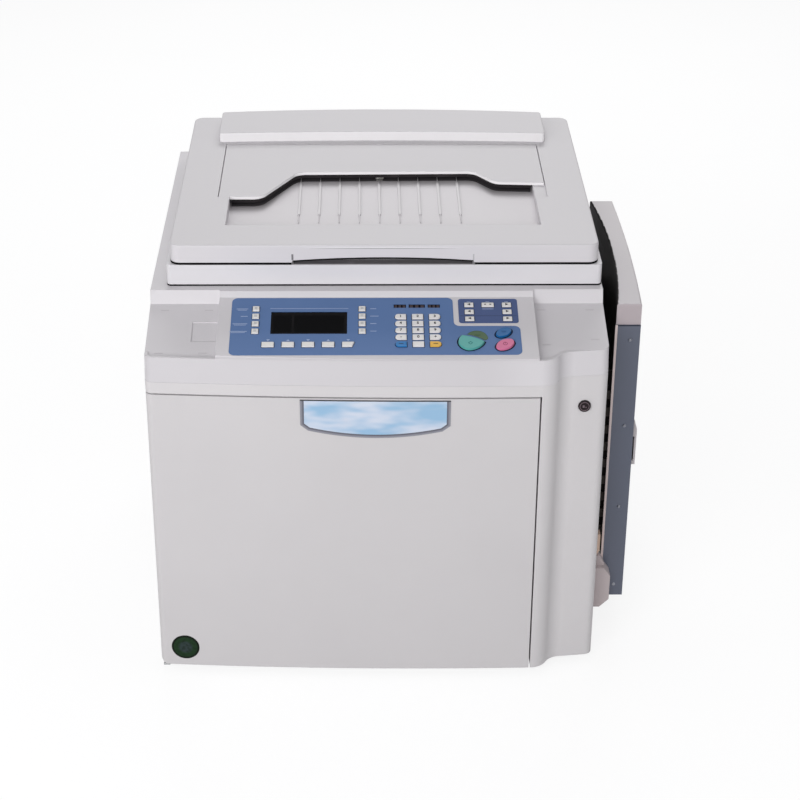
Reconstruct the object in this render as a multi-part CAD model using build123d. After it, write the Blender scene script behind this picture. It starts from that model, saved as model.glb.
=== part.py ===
from build123d import *
import os
from math import acos, cos, hypot, pi, radians, sin, tan

# A desktop digital duplicator: a moulded cabinet with a print drum inside, a sloping control
# panel, a flat scanner under a hinged lid, a door over the drum bay, and a paper tray folded up
# against the right side. Millimetres, +Z up, the front faces -Y. The origin is on the floor, in
# the middle of the whole machine's footprint.

# Cabinet
cabinet_width = 600.0
half_width = cabinet_width / 2
cabinet_depth = 640.0
foot_height = 12.0
casing_height = 442.0
wall = 3.0
sheet = 2.0
corner_radius = 10.0
rear_radius = 12.0
fit_gap = 0.5
rest_gap = 0.3
running_gap = 0.08

# Bowed front and the step back beside the door
door_crown = 3.0
crown_x = 100.0
crown_radius = 5260.0
step_x = half_width - 88.0
step_width = 44.0
step_depth = 25.0
column_radius = 10.0
column_slant = 4.0
flat_width = half_width - column_radius - step_x - step_width
column_back = 44.0

# Top cover
band_height = 32.0
band_lean = 8.5
deck_height = 72.0
panel_slope = 13.8
panel_front = 10.0
panel_back = 128.0
riser_run = 5.0
platform_left = 208.0
platform_right = 207.0
shelf_drop = 10.9
shelf_back = 130.0
shelf_lip = 4.5
card_pocket_width = 34.0
card_pocket_length = 39.0
card_pocket_depth = 1.2

# Control panel, measured from the cabinet's middle and up the slope
overlay_left = 191.0
overlay_right = 185.6
overlay_low = 4.5
overlay_high = 120.0
overlay_notch_x = 99.5
overlay_notch_v = 62.0
overlay_radius = 8.0
overlay_thickness = 1.2
overlay_stand = 0.2
function_left = 106.5
function_right = 184.5
function_low = 67.7
function_high = 117.6
function_radius = 4.0
window_thickness = 1.0
window_margin = 1.5
display_left = 139.0
display_width = 99.5
display_low = 46.7
display_height = 45.5
key_stand = 2.2
key_gap = 0.35
key_flange = 1.0
key_flange_thickness = 1.2
side_key_size = 9.0
side_key_pitch = 15.2
side_key_low = 51.0
side_key_left = -159.0
side_key_right = -20.0
soft_key_width = 16.0
soft_key_height = 9.0
soft_key_pitch = 25.9
soft_key_first = -141.5
soft_key_v = 24.5
soft_key_slant = 3.0
number_key_width = 14.7
number_key_height = 9.5
number_column_pitch = 22.3
number_row_pitch = 13.8
number_first_x = 30.2
number_first_v = 24.7
function_key_width = 12.0
function_key_height = 7.6
function_wide_key = 16.0
function_column_pitch = 24.8
function_row_pitch = 14.3
function_first_x = 120.6
function_first_v = 75.4
round_key_stand = 3.0

# Door, nameplate and bezel
door_width = half_width + step_x - 2.6
door_height = 424.0
door_depth = 22.0
door_gap = 2.0
door_corner = 10.0
door_rib = 2.0
hinge_inset = 7.5
hinge_depth = 17.5
hinge_gap = 3.5
hinge_boss = 4.5
hinge_pin = 2.0
hinge_engagement = 12.0
hinge_plate = 2.5
door_sweep = hinge_depth + hypot(hinge_inset, door_depth - hinge_depth)
bezel_depth = 75.0
rail_depth = 40.0
plate_left = 100.5
plate_right = 94.0
plate_shoulder = 37.0
plate_foot = 45.0
plate_drop = 55.0
plate_inset = 10.0
plate_stand = 0.8
plate_thickness = 2.0
catch_width = 24.0
catch_reach = 12.0
catch_low = 82.0
catch_high = 342.0
tray_button_x = half_width - 30.0
tray_button_z = 410.0
tray_button_radius = 8.0
tray_button_stand = 2.5

# Scanner and lid
scanner_left = half_width - 21.0
scanner_right = half_width - 1.0
scanner_front = 150.0
scanner_back = cabinet_depth - 6.0
scanner_height = 30.0
scanner_radius = 6.0
glass_left = 215.0
glass_width = 440.0
glass_front = 188.0
glass_depth = 316.0
glass_thickness = 4.0
glass_ledge = 6.0
rail_radius = 4.0
rail_front = 215.0
rail_spacing = 270.0
carriage_width = 46.0
carriage_height = 13.0
carriage_home = 195.0
lid_gap = 3.0
lid_left = half_width - 26.0
lid_right = half_width - 6.0
lid_front = 151.0
lid_height = 25.0
lid_radius = 14.0
lid_wall = 2.5
lid_rim = 14.0
slot_left = 112.0
slot_right = 128.0
slot_rise = 7.5
slot_depth = 13.0
pocket_left = 204.0
pocket_right = 222.0
pocket_front = 218.0
pocket_back = scanner_back - 129.0
pocket_depth = 14.0
pocket_ramp = 12.0
rib_count = 9
rib_first = 107.0
rib_pitch = 27.9
rib_height = 1.5
table_left = 219.0
table_right = 238.0
table_front = 317.0
table_back = scanner_back - 114.0
table_thickness = 4.0
table_gap = 1.2
table_pin = 1.2
bar_left = 231.0
bar_right = 252.0
bar_front = scanner_back - 106.0
bar_front_bow = 7.0
bar_back = scanner_back - 15.0
bar_back_bow = 13.0
bar_height = 14.0
bar_radius = 5.0
pad_margin = 4.0
pad_thickness = 2.7
hinge_reach = 3.5
lid_knuckle = 4.5
lid_pin = 3.0
lid_hinge_x = 200.0
lid_hinge_width = 30.0
lid_ear_width = 10.0

# Frame, drum and drive
foot_radius = 16.0
foot_taper = 2.0
foot_side = 50.0
foot_end = 70.0
pan_flange = 14.0
pan_margin = 3.3
stand_hole_radius = 4.5
stand_hole_x = 440.0
stand_hole_y = 400.0
front_frame_y = 75.0
rear_frame_y = cabinet_depth - 120.0
frame_margin = 8.0
stay_size = 12.0
stay_side = 95.0
stay_drum_left = -60.0
stay_drum_right = 95.0
drum_x = -20.0
drum_z = 295.0
drum_radius = 90.0
drum_front = 100.0
drum_length = rear_frame_y - drum_front - 30.0
drum_shell = 5.0
drum_flange = 6.0
clamp_width = 20.0
clamp_depth = 3.0
sleeve_radius = 42.0
sleeve_bore = 40.0
disc_radius = 97.0
disc_thickness = 6.0
drum_peg = 8.0
gear_module = 3.0
gear_teeth = 52
pinion_teeth = 14
gear_width = 10.0
gear_backlash = 0.35
pinion_angle = 35.0
motor_radius = 34.0
motor_length = 66.0
motor_shaft = 4.0
motor_flange = 80.0
motor_plate = 4.0
motor_bearing = 12.0
motor_bearing_length = 8.0
motor_shaft_bore = 15.0
cartridge_length = 250.0
cartridge_cap = 45.0
press_radius = 18.0
press_shaft = 6.0
press_front = 105.0
press_length = rear_frame_y - press_front - 35.0
feed_x = half_width - 78.0
feed_z = 205.0
feed_radius = 14.0
feed_shaft = 4.0
feed_tyre = 22.0
feed_tyre_gap = 16.0
guide_plate_inner = 150.0
guide_plate_outer = half_width - 57.0
guide_plate_z = 187.0
roll_x = half_width - 112.0
roll_z = 394.0
roll_radius = 38.0
roll_core = 12.0
roll_front = 102.0
roll_length = rear_frame_y - roll_front - 32.0
cradle_inner = 112.0
cradle_outer = half_width - 38.0
cradle_floor = 346.0
cradle_top = 436.0
cradle_plate_inset = 18.0
box_left = half_width - 20.0
box_right = 134.0
box_low = 289.0
box_high = 441.0
box_length = rear_frame_y - front_frame_y - 45.0
box_wall = 2.5
belt_left = half_width - 52.0
belt_right = 52.0
belt_low = 150.0
belt_high = 172.0
belt_front = 110.0
belt_depth = rear_frame_y - belt_front - 35.0
belt_count = 3
belt_width = 26.0
fan_x = -180.0
fan_z = 240.0
fan_radius = 44.0
fan_depth = 24.0
fan_hub = 17.0
fan_pin = 3.0
fan_blades = 7
supply_left = -80.0
supply_width = 190.0
supply_front = rear_frame_y + 15.0
supply_depth = 70.0
supply_height = 90.0
inlet_x = 170.0
inlet_z = 80.0
inlet_plate_width = 68.0
inlet_plate_height = 30.0
inlet_stand = 1.5
inlet_depth = 20.0
socket_width = 24.0
socket_height = 17.0
socket_depth = 16.0
socket_pin = 1.2
rocker_width = 16.0
rocker_height = 21.0
rocker_tilt = 9.0
vent_count = 12
vent_width = 4.0
vent_height = 66.0
vent_pitch = 9.0

# Paper trays
tray_gap = 18.0
tray_thickness = 33.0
tray_low = 52.0
tray_plate_top = 482.0
tray_top = 512.0
tray_front = 120.0
tray_width = cabinet_depth - 285.0
tray_bow_in = 12.0
tray_bow_out = 4.0
pivot_out = 14.0
pivot_z = 80.0
pivot_pin = 6.0
hub_out = 29.0
hub_low = 47.0
hub_high = 112.0
hub_rim = 127.0
hub_width = 22.6
hub_chamfer = 13.0
stop_block_out = 13.0
stop_block_top = 162.0
arm_thickness = 12.0
arm_low = 68.0
arm_high = 92.0
lift_travel = 150.0
beam_x = half_width - 50.0
beam_width = 15.0
lift_rod = 4.0
lift_rod_top = 330.0
mouth_front = tray_front - 4.0
mouth_back = tray_front + tray_width + 4.0
mouth_low = 28.0
mouth_high = 440.0
guide_spread = tray_width - 55.0
guide_height = 28.0
guide_low = 110.0
guide_high = 400.0
guide_wall = 3.0
guide_foot = 12.0
handle_reach = 7.0
handle_low = 260.0
handle_high = 339.0
handle_shoulder = 316.0
handle_front = 132.0
handle_width = 22.0
grip_pocket_low = 266.0
grip_pocket_high = 304.0
grip_pocket_depth = 15.0
grip_pocket_width = 74.0
exit_front = tray_front - 6.0
exit_width = tray_width + 12.0
exit_low = 60.0
exit_height = 341.0
exit_thickness = 16.0
exit_floor = 3.0
exit_frame_depth = 18.0
exit_axis_x = 7.0
exit_axis_z = 6.0
exit_pin = 2.5

# Places that follow from the sizes
reach_right = tray_gap + tray_thickness + handle_reach
left = -(cabinet_width + reach_right) / 2
right = left + cabinet_width
middle = (left + right) / 2
front = -(cabinet_depth + hinge_reach - door_crown - plate_stand) / 2
back = front + cabinet_depth
base_z = foot_height
split_z = base_z + casing_height
band_z = split_z + band_height
deck_z = split_z + deck_height
panel_z = band_z + 4.0
slope = tan(radians(panel_slope))
scanner_top = deck_z + scanner_height
lid_z = scanner_top + lid_gap
lid_top = lid_z + lid_height
door_top = base_z + door_height
shelf_rise_run = 7.0


def across(distance):
    """x, measured from the cabinet's middle plane."""
    return middle + distance


def behind(distance):
    """y, measured back from the plane of the cabinet's front."""
    return front + distance


def block(x0, x1, y0, y1, z0, z1):
    """A plain block between two corners."""
    place = Pos((x0 + x1) / 2, (y0 + y1) / 2, (z0 + z1) / 2)
    return place * Box(x1 - x0, y1 - y0, z1 - z0)


def rod_y(x, z, y0, y1, radius):
    """A round bar that runs front to back."""
    return Pos(x, (y0 + y1) / 2, z) * Rot(90, 0, 0) * Cylinder(radius, y1 - y0)


def rod_x(y, z, x0, x1, radius):
    """A round bar that runs left to right."""
    return Pos((x0 + x1) / 2, y, z) * Rot(0, 90, 0) * Cylinder(radius, x1 - x0)


def rod_z(x, y, z0, z1, radius):
    """An upright round bar."""
    return Pos(x, y, (z0 + z1) / 2) * Cylinder(radius, z1 - z0)


def upright(face, z0, z1):
    """A flat outline seen from above, pulled up from z0 to z1."""
    return extrude(Pos(0, 0, z0) * face, amount=z1 - z0, dir=(0, 0, 1))


def through_y(points, y0, y1):
    """A straight-sided outline in x and z, pulled back from y0 to y1."""
    face = Plane((0, y0, 0), x_dir=(1, 0, 0), z_dir=(0, -1, 0)) * make_face(Polyline(*points, close=True))
    return extrude(face, amount=y1 - y0, dir=(0, 1, 0))


def through_x(points, x0, x1):
    """A straight-sided outline in y and z, pulled from x0 to x1."""
    face = Plane((x0, 0, 0), x_dir=(0, 1, 0), z_dir=(1, 0, 0)) * make_face(Polyline(*points, close=True))
    return extrude(face, amount=x1 - x0, dir=(1, 0, 0))


def rounded_slab(x0, x1, y0, y1, z0, z1, radius):
    """A block with its four upright corners rounded."""
    face = RectangleRounded(x1 - x0, y1 - y0, radius)
    return upright(Pos((x0 + x1) / 2, (y0 + y1) / 2) * face, z0, z1)


def crown_y(x):
    """The front face at x: one long shallow bow, whose nearest point is right of the middle."""
    return front - door_crown + (x - across(crown_x)) ** 2 / (2 * crown_radius)


# Casing outline

def casing_outline():
    """The casing from above: bowed front, S-shaped step back on the right, rounded corners."""
    bow_start = (left + corner_radius, crown_y(left + corner_radius))
    bow_middle = (across(-40), crown_y(across(-40)))
    bow_end = (across(step_x), crown_y(across(step_x)))
    step_end = (bow_end[0] + step_width, front + step_depth)
    step_middle = ((bow_end[0] + step_end[0]) / 2, (bow_end[1] + step_end[1]) / 2)
    flat_end = (right - column_radius, step_end[1] + column_slant)
    side_start = (right, flat_end[1] + column_radius)
    left_start = (left, bow_start[1] + corner_radius)
    corner = TangentArc(left_start, bow_start, tangent=(0, -1))
    bow = ThreePointArc(bow_start, bow_middle, bow_end)
    step_in = TangentArc(bow_end, step_middle, tangent=bow % 1)
    step_out = TangentArc(step_middle, step_end, tangent=step_in % 1)
    flat = Line(step_end, flat_end)
    bend = TangentArc(flat_end, side_start, tangent=flat % 1)
    right_side = Line(side_start, (right, back - rear_radius))
    right_corner = TangentArc(right_side @ 1, (right - rear_radius, back), tangent=(0, 1))
    rear = Line(right_corner @ 1, (left + rear_radius, back))
    left_corner = TangentArc(rear @ 1, (left, back - rear_radius), tangent=(-1, 0))
    left_side = Line(left_corner @ 1, left_start)
    edges = [corner, bow, step_in, step_out, flat, bend]
    edges += [right_side, right_corner, rear, left_corner, left_side]
    return make_face(edges)


outer_outline = casing_outline()
inner_outline = offset(outer_outline, amount=-wall)


# Base

def base_pan():
    """Folded steel pan: the floor that everything stands on, with holes for a floor stand."""
    x0, x1 = left + pan_margin, right - pan_margin
    y0, y1 = behind(door_sweep + fit_gap), back - pan_margin
    pan = block(x0, x1, y0, y1, base_z, base_z + pan_flange)
    rear_corners = pan.edges().filter_by(Axis.Z).group_by(Axis.Y)[-1]
    pan = fillet(rear_corners, rear_radius - pan_margin)
    pan -= block(x0 + sheet, x1 - sheet, y0 - 1, y1 - rear_radius, base_z + sheet, split_z)
    pan -= block(x0 + rear_radius, x1 - rear_radius, y0 - 1, y1 - sheet, base_z + sheet, split_z)
    pan -= block(across(step_x) - pan_margin, x1 + 1, y0 - 1, behind(column_back), base_z - 1, split_z)
    for x in (-stand_hole_x / 2, stand_hole_x / 2):
        for y in (-stand_hole_y / 2, stand_hole_y / 2):
            place_y = behind(cabinet_depth / 2) + y
            pan -= rod_z(across(x), place_y, base_z - 1, base_z + sheet + 1, stand_hole_radius)
    return pan


def rubber_feet():
    """Four moulded feet, slightly tapered towards the floor."""
    feet = []
    for x in (left + foot_side, right - foot_side):
        for y in (behind(foot_end), back - foot_end):
            foot = Cone(foot_radius - foot_taper, foot_radius, foot_height)
            feet.append(Pos(x, y, foot_height / 2) * foot)
    return Compound(children=feet)


# Frame plates

frame_left = left + frame_margin
frame_right = right - frame_margin
frame_top = split_z - 2
frame_floor = base_z + sheet
pinion_distance = gear_module * (gear_teeth + pinion_teeth) / 2
pinion_x = across(drum_x) + pinion_distance * cos(radians(pinion_angle))
pinion_z = drum_z + pinion_distance * sin(radians(pinion_angle))
press_z = drum_z - drum_radius - rest_gap - press_radius


def shaft_holes(y):
    """The bearing holes that both frame plates have."""
    holes = rod_y(across(drum_x), press_z, y - 1, y + sheet + 1, press_shaft + running_gap)
    holes += rod_y(across(feed_x), feed_z, y - 1, y + sheet + 1, feed_shaft + running_gap)
    return holes


def front_frame():
    """Front plate of the print frame, with the drum's hole and the used-master box's window."""
    y = behind(front_frame_y)
    plate = block(frame_left, frame_right, y, y + sheet, frame_floor, frame_top)
    plate += block(frame_left, frame_left + sheet, behind(rail_depth + 2), y, frame_floor, frame_top)
    plate -= rod_y(across(drum_x), drum_z, y - 1, y + sheet + 1, disc_radius + fit_gap)
    x0, x1 = across(-box_left) - fit_gap, across(-box_right) + fit_gap
    plate -= block(x0, x1, y - 1, y + sheet + 1, box_low - fit_gap, box_high + fit_gap)
    plate -= shaft_holes(y)
    return plate


def rear_frame():
    """Rear plate of the print frame: carries the drum's peg, the shafts and the motor."""
    y = behind(rear_frame_y)
    plate = block(frame_left, frame_right, y, y + sheet, frame_floor, frame_top)
    plate -= rod_y(across(drum_x), drum_z, y - 1, y + sheet + 1, drum_peg + running_gap)
    plate -= rod_y(pinion_x, pinion_z, y - 1, y + sheet + 1, motor_shaft + 2)
    plate -= shaft_holes(y)
    return plate


def frame_stays():
    """Square bars that hold the two frame plates apart; one carries the used-master box."""
    y0, y1 = behind(front_frame_y) + sheet, behind(rear_frame_y)
    low = frame_floor + stay_size / 2
    outer, high = half_width - stay_side, frame_top - stay_size
    places = [(-outer, low), (outer, low), (stay_drum_left, high), (stay_drum_right, high)]
    places.append((-(box_left + box_right) / 2, box_low - rest_gap - stay_size / 2))
    stays = []
    for x, z in places:
        half = stay_size / 2
        stays.append(block(across(x) - half, across(x) + half, y0, y1, z - half, z + half))
    return Compound(children=stays)


# Outer covers

def left_cover():
    """Left side panel: a window with a deep frame, where the delivery tray folds away."""
    y0, y1 = behind(door_depth) + hinge_gap, back - rail_depth
    panel = block(left, left + wall, y0, y1, base_z, split_z)
    a, b = behind(exit_front) - door_gap, behind(exit_front + exit_width) + door_gap
    c, d = exit_low - 2 * door_gap, exit_low + exit_height + door_gap
    deep = left + exit_frame_depth
    panel += block(left, deep, a - wall, b + wall, c - wall, d + wall)
    panel -= block(left - 1, deep + 1, a, b, c, d)
    pin_x, pin_z = left + exit_axis_x, exit_low + exit_axis_z
    panel -= rod_y(pin_x, pin_z, a - wall - 1, b + wall + 1, exit_pin + running_gap)
    return panel


def right_cover():
    """Right side panel: the paper mouth, and an upright slot for each arm of the tray lift."""
    x0, x1 = right - wall, right
    panel = block(x0, x1, behind(bezel_depth), back - rail_depth, base_z, split_z)
    panel -= block(x0 - 1, x1 + 1, behind(mouth_front), behind(mouth_back), mouth_low, mouth_high)
    for y in arm_places():
        slot_low, slot_high = arm_low - 2, arm_high + lift_travel + 2
        panel -= block(x0 - 1, x1 + 1, y - 1, y + arm_thickness + 1, slot_low, slot_high)
    return panel


def rear_cover():
    """Back panel, wrapped round both rear corners, with two groups of upright vents."""
    y0 = back - rail_depth
    shell = upright(outer_outline, base_z, split_z) - upright(inner_outline, base_z - 1, split_z + 1)
    cover = shell & block(left - 1, right + 1, y0, back + 1, base_z, split_z)
    for group in (fan_x, -fan_x):
        for n in range(vent_count):
            x = across(group) + (n - (vent_count - 1) / 2) * vent_pitch
            low, high = fan_z - vent_height / 2, fan_z + vent_height / 2
            cover -= block(x - vent_width / 2, x + vent_width / 2, back - wall - 1, back + 1, low, high)
    x, half_w, half_h = across(inlet_x), inlet_plate_width / 2 - 3, inlet_plate_height / 2 - 3
    cut = block(x - half_w, x + half_w, back - wall - 1, back + 1, inlet_z - half_h, inlet_z + half_h)
    return cover - cut


def front_bezel():
    """Fixed front moulding: the column right of the door and the rail above it."""
    column_left = left + door_width + door_gap
    shell = upright(outer_outline, base_z, split_z) - upright(inner_outline, base_z - 1, split_z + 1)
    column = shell & block(column_left, right + 1, front - 20, behind(bezel_depth), base_z, split_z)
    inside = upright(inner_outline, base_z, split_z)
    floor = base_z + sheet + fit_gap
    column += inside & block(column_left, column_left + wall, front - 20, behind(bezel_depth), floor, split_z)
    rail_low = door_top + door_gap
    rail = shell & block(left - 1, column_left + 1, front - 20, behind(door_depth), rail_low, split_z)
    rail += inside & block(left, column_left + 1, front - 20, behind(rail_depth), rail_low, rail_low + wall)
    bezel = column + rail
    for z in (catch_low, catch_high):
        y = behind(door_depth) + rest_gap
        bezel += block(column_left - catch_reach, column_left + wall, y, y + 9, z, z + catch_width)
    x, y = left + hinge_inset, behind(hinge_depth)
    bezel -= rod_z(x, y, rail_low - 1, rail_low + wall + 1, hinge_pin + running_gap)
    button = rod_y(across(tray_button_x), tray_button_z, front, behind(bezel_depth), tray_button_radius + rest_gap)
    return bezel - button


# Top cover

def slope_z(distance, drop):
    """Height of the panel plane at a distance behind the front, lowered by drop."""
    return panel_z + (distance - panel_front) * slope - drop


def cover_form(outline, inset, drop):
    """The top cover as a solid: leaning band, sloping panel between two lower shelves, deck."""
    lean = Vector(0, band_lean, band_height)
    form = extrude(Pos(0, 0, split_z) * outline, amount=lean.length, dir=lean)
    form += upright(Pos(0, band_lean) * outline, band_z, deck_z + 1)
    top = deck_z - drop
    far = behind(cabinet_depth) - inset
    profile = [
        (behind(-60), split_z), (behind(-60), slope_z(-60, drop)),
        (behind(panel_back), slope_z(panel_back, drop)),
        (behind(panel_back + riser_run), top), (far, top), (far, split_z),
    ]
    form &= through_x(profile, left - 1, right + 1)
    shelf_edge = slope_z(shelf_back, shelf_drop + drop)
    lip = band_z - drop
    meet = panel_front + (lip - slope_z(panel_front, shelf_drop + drop)) / slope
    front_lip = [(behind(-60), lip), (behind(meet), lip)]
    if inset:
        front_lip = [(behind(-60), slope_z(-60, shelf_drop + drop))]
    above = front_lip + [
        (behind(shelf_back), shelf_edge), (behind(shelf_back + shelf_rise_run), top),
        (behind(shelf_back + shelf_rise_run), deck_z + 9), (behind(-60), deck_z + 9),
    ]
    form -= through_x(above, left - 1, across(-platform_left) + inset)
    form -= through_x(above, across(platform_right) - inset, right + 1)
    return form


def shelf_cut():
    """The shallow well of both side shelves, inside their front lip."""
    well = [
        (behind(-60), slope_z(-60, shelf_drop)), (behind(shelf_back), slope_z(shelf_back, shelf_drop)),
        (behind(shelf_back), deck_z + 9), (behind(-60), deck_z + 9),
    ]
    cut = through_x(well, left - 1, across(-platform_left))
    cut += through_x(well, across(platform_right), right + 1)
    face = offset(Pos(0, band_lean) * outer_outline, amount=-shelf_lip)
    grown = upright(face, split_z, deck_z + 9)
    grown += block(left - 1, left + shelf_lip + 1, behind(45), behind(shelf_back), split_z, deck_z + 9)
    grown += block(right - shelf_lip - 1, right + 1, behind(70), behind(shelf_back), split_z, deck_z + 9)
    return cut & grown


panel = Plane((middle, behind(panel_front), panel_z), x_dir=(1, 0, 0), z_dir=(0, -slope, 1))


def on_panel(face, low, high):
    """An outline drawn on the sloping panel, pulled square to it from low to high."""
    return panel.location * extrude(Pos(0, 0, low) * face, amount=high - low, dir=(0, 0, 1))


def overlay_face():
    """Blue film of the control panel, with the notch for the function keys."""
    corners = [
        (-overlay_left, overlay_low), (overlay_right, overlay_low), (overlay_right, overlay_notch_v),
        (overlay_notch_x, overlay_notch_v), (overlay_notch_x, overlay_high), (-overlay_left, overlay_high),
    ]
    face = make_face(Polyline(*corners, close=True))
    return fillet(face.vertices(), overlay_radius)


def function_face():
    """Darker film of the function keys."""
    width, height = function_right - function_left, function_high - function_low
    centre = Pos((function_left + function_right) / 2, (function_low + function_high) / 2)
    return centre * RectangleRounded(width, height, function_radius)


def capsule_key(width, height, round_left, round_right):
    """Outline of a number key: its outer end is rounded when it stands in an outer column."""
    a, b, half = -width / 2, width / 2, height / 2
    lower = Line((a + (half if round_left else 0), -half), (b - (half if round_right else 0), -half))
    upper = Line((b - (half if round_right else 0), half), (a + (half if round_left else 0), half))
    ends = []
    for line_end, line_start, tip, curved in (
        (lower @ 1, upper @ 0, (b, 0), round_right),
        (upper @ 1, lower @ 0, (a, 0), round_left),
    ):
        ends.append(ThreePointArc(line_end, tip, line_start) if curved else Line(line_end, line_start))
    return make_face([lower, ends[0], upper, ends[1]])


def display_key_faces():
    """Two columns of square keys beside the display, and the row of soft keys below it."""
    faces = []
    for x in (side_key_left, side_key_right):
        for row in range(4):
            faces.append(Pos(x, side_key_low + row * side_key_pitch) * Rectangle(side_key_size, side_key_size))
    for column in range(5):
        x = soft_key_first + column * soft_key_pitch
        a, b, half = -soft_key_width / 2, soft_key_width / 2, soft_key_height / 2
        cut = soft_key_slant if column == 4 else 0
        corners = [(a, -half), (b - cut, -half), (b, half), (a, half)]
        faces.append(Pos(x, soft_key_v) * make_face(Polyline(*corners, close=True)))
    return faces


def number_key_faces():
    """Three columns and five rows of number keys."""
    faces = []
    for row in range(5):
        for column in range(3):
            x = number_first_x + column * number_column_pitch
            v = number_first_v + row * number_row_pitch
            key = capsule_key(number_key_width, number_key_height, column == 0, column == 2)
            faces.append(Pos(x, v) * key)
    return faces


def function_key_faces():
    """Keys of the small panel: three rows in the outer columns and one wide key between them."""
    faces = []
    for row in range(3):
        for column in (0, 2):
            x = function_first_x + column * function_column_pitch
            v = function_first_v + row * function_row_pitch
            faces.append(Pos(x, v) * Rectangle(function_key_width, function_key_height))
    x = function_first_x + function_column_pitch
    v = function_first_v + 2 * function_row_pitch
    faces.append(Pos(x, v) * Rectangle(function_wide_key, function_key_height))
    return faces


def start_key_face():
    """Large start key: a rounded leaf with its tip to the right."""
    shoulder, heel, tip = (109.0, 41.0), (117.0, 12.9), (138.0, 28.6)
    edges = [
        ThreePointArc(shoulder, (104.0, 28.0), heel),
        ThreePointArc(heel, (129.5, 17.4), tip),
        ThreePointArc(tip, (124.6, 36.4), shoulder),
    ]
    return make_face(edges)


def master_key_face():
    """Key above the start key, whose lower edge follows the start key's upper edge."""
    tail, nose, chin = (116.2, 44.8), (142.0, 41.0), (138.4, 33.4)
    edges = [
        ThreePointArc(tail, (129.0, 52.4), nose),
        ThreePointArc(nose, (142.3, 36.2), chin),
        ThreePointArc(chin, (127.6, 40.6), tail),
    ]
    return make_face(edges)


def oval(length, width):
    """An oval of four tangent arcs, length along X."""
    a, b = length / 2, width / 2
    end = 1.15 * b * b / a
    side = ((a - end) ** 2 + b * b - end * end) / (2 * (b - end))
    share = side / (side - end)
    x, y = (a - end) * share, (b - side) * (1 - share)
    edges = [
        ThreePointArc((x, -y), (a, 0), (x, y)), ThreePointArc((x, y), (0, b), (-x, y)),
        ThreePointArc((-x, y), (-a, 0), (-x, -y)), ThreePointArc((-x, -y), (0, -b), (x, -y)),
    ]
    return make_face(edges)


def test_key_face():
    """Tilted oval key for a proof copy."""
    return Pos(163.4, 47.2) * Rot(0, 0, 37) * oval(23.2, 15.4)


def stop_key_face():
    """Larger tilted oval key that stops the run."""
    return Pos(164.2, 23.2) * Rot(0, 0, 36) * oval(26.8, 17.8)


def window_faces():
    """The display and the three indicator windows."""
    faces = [Pos(-display_left + display_width / 2, display_low + display_height / 2)
             * Rectangle(display_width, display_height)]
    for low, high in ((21.5, 37.7), (41.2, 62.7), (66.3, 82.4)):
        faces.append(Pos((low + high) / 2, 103.3) * Rectangle(high - low, 7.9))
    return faces


def all_key_faces():
    """Every key's outline, for the holes that the keys stand in."""
    faces = display_key_faces() + number_key_faces() + function_key_faces()
    return faces + [start_key_face(), master_key_face(), test_key_face(), stop_key_face()]


def grown(face, amount):
    """The outline moved outwards all round. Straight sides keep their sharp corners."""
    straight = all(edge.geom_type == GeomType.LINE for edge in face.edges())
    return offset(face, amount=amount, kind=Kind.INTERSECTION if straight else Kind.ARC)


def key_holes(low, high):
    """Holes for all keys, each larger than its key by the key gap."""
    return [on_panel(grown(face, key_gap), low, high) for face in all_key_faces()]


def window_holes(margin, low, high):
    """Holes for the display and indicator windows."""
    return [on_panel(grown(face, margin), low, high) for face in window_faces()]


def top_cover():
    """Top moulding: one shell from the band over the door back to the rear edge."""
    shell = cover_form(outer_outline, 0, 0) - shelf_cut()
    shell -= cover_form(inner_outline, wall, wall)
    rebate = overlay_thickness - overlay_stand
    shell -= [on_panel(overlay_face(), -rebate, 9), on_panel(function_face(), -rebate, 9)]
    shell -= window_holes(window_margin, -rebate - window_thickness, 0)
    shell -= key_holes(-wall - 2, 1)
    pocket_y = 55 + card_pocket_length / 2
    x0 = across(-platform_left)
    well = slope_z(pocket_y, shelf_drop)
    pocket = Pos(x0 - card_pocket_width / 2, behind(pocket_y), well) * Rot(panel_slope, 0, 0)
    shell -= pocket * Box(card_pocket_width, card_pocket_length, 2 * card_pocket_depth)
    return shell


def panel_overlay():
    """Blue film with its key holes and windows."""
    film = on_panel(overlay_face(), overlay_stand - overlay_thickness, overlay_stand)
    film -= key_holes(-wall, 2)
    return film - window_holes(0, -wall, 2)


def function_overlay():
    """Darker film round the function keys."""
    film = on_panel(function_face(), overlay_stand - overlay_thickness, overlay_stand)
    return film - key_holes(-wall, 2)


def display_windows():
    """Dark window panes, held under the film."""
    top = overlay_stand - overlay_thickness
    panes = []
    for face in window_faces():
        pane = grown(face, window_margin - 0.1)
        panes.append(on_panel(pane, top - window_thickness, top))
    return Compound(children=panes)


def key_solid(face, stand):
    """One key: tapered cap, straight stem through the cover, and the flange that keeps it in."""
    under = -wall - 0.1
    rise = stand - overlay_stand
    cap = panel.location * extrude(Pos(0, 0, overlay_stand) * face, amount=rise, dir=(0, 0, 1), taper=12)
    stem = on_panel(face, under, overlay_stand)
    brim = grown(face, key_flange)
    return cap + stem + on_panel(brim, under - key_flange_thickness, under)


def key_bank(faces, stand):
    """Several keys as separate solids."""
    return Compound(children=[key_solid(face, stand) for face in faces])


def tray_button():
    """Round button on the column: cap, and a flange behind the bezel."""
    x, z = across(tray_button_x), tray_button_z
    face_y = front + step_depth + column_slant * (tray_button_x - step_x - step_width) / flat_width
    body = rod_y(x, z, face_y - tray_button_stand, face_y + wall + 1, tray_button_radius)
    body += rod_y(x, z, face_y + wall + 1.4, face_y + wall + 3, tray_button_radius + 2)
    body += rod_y(x, z, face_y + wall + 1, face_y + wall + 1.4, tray_button_radius - 1)
    return body - rod_y(x, z, face_y - tray_button_stand - 1, face_y - tray_button_stand + 0.8, 3.2)


# Door

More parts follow.
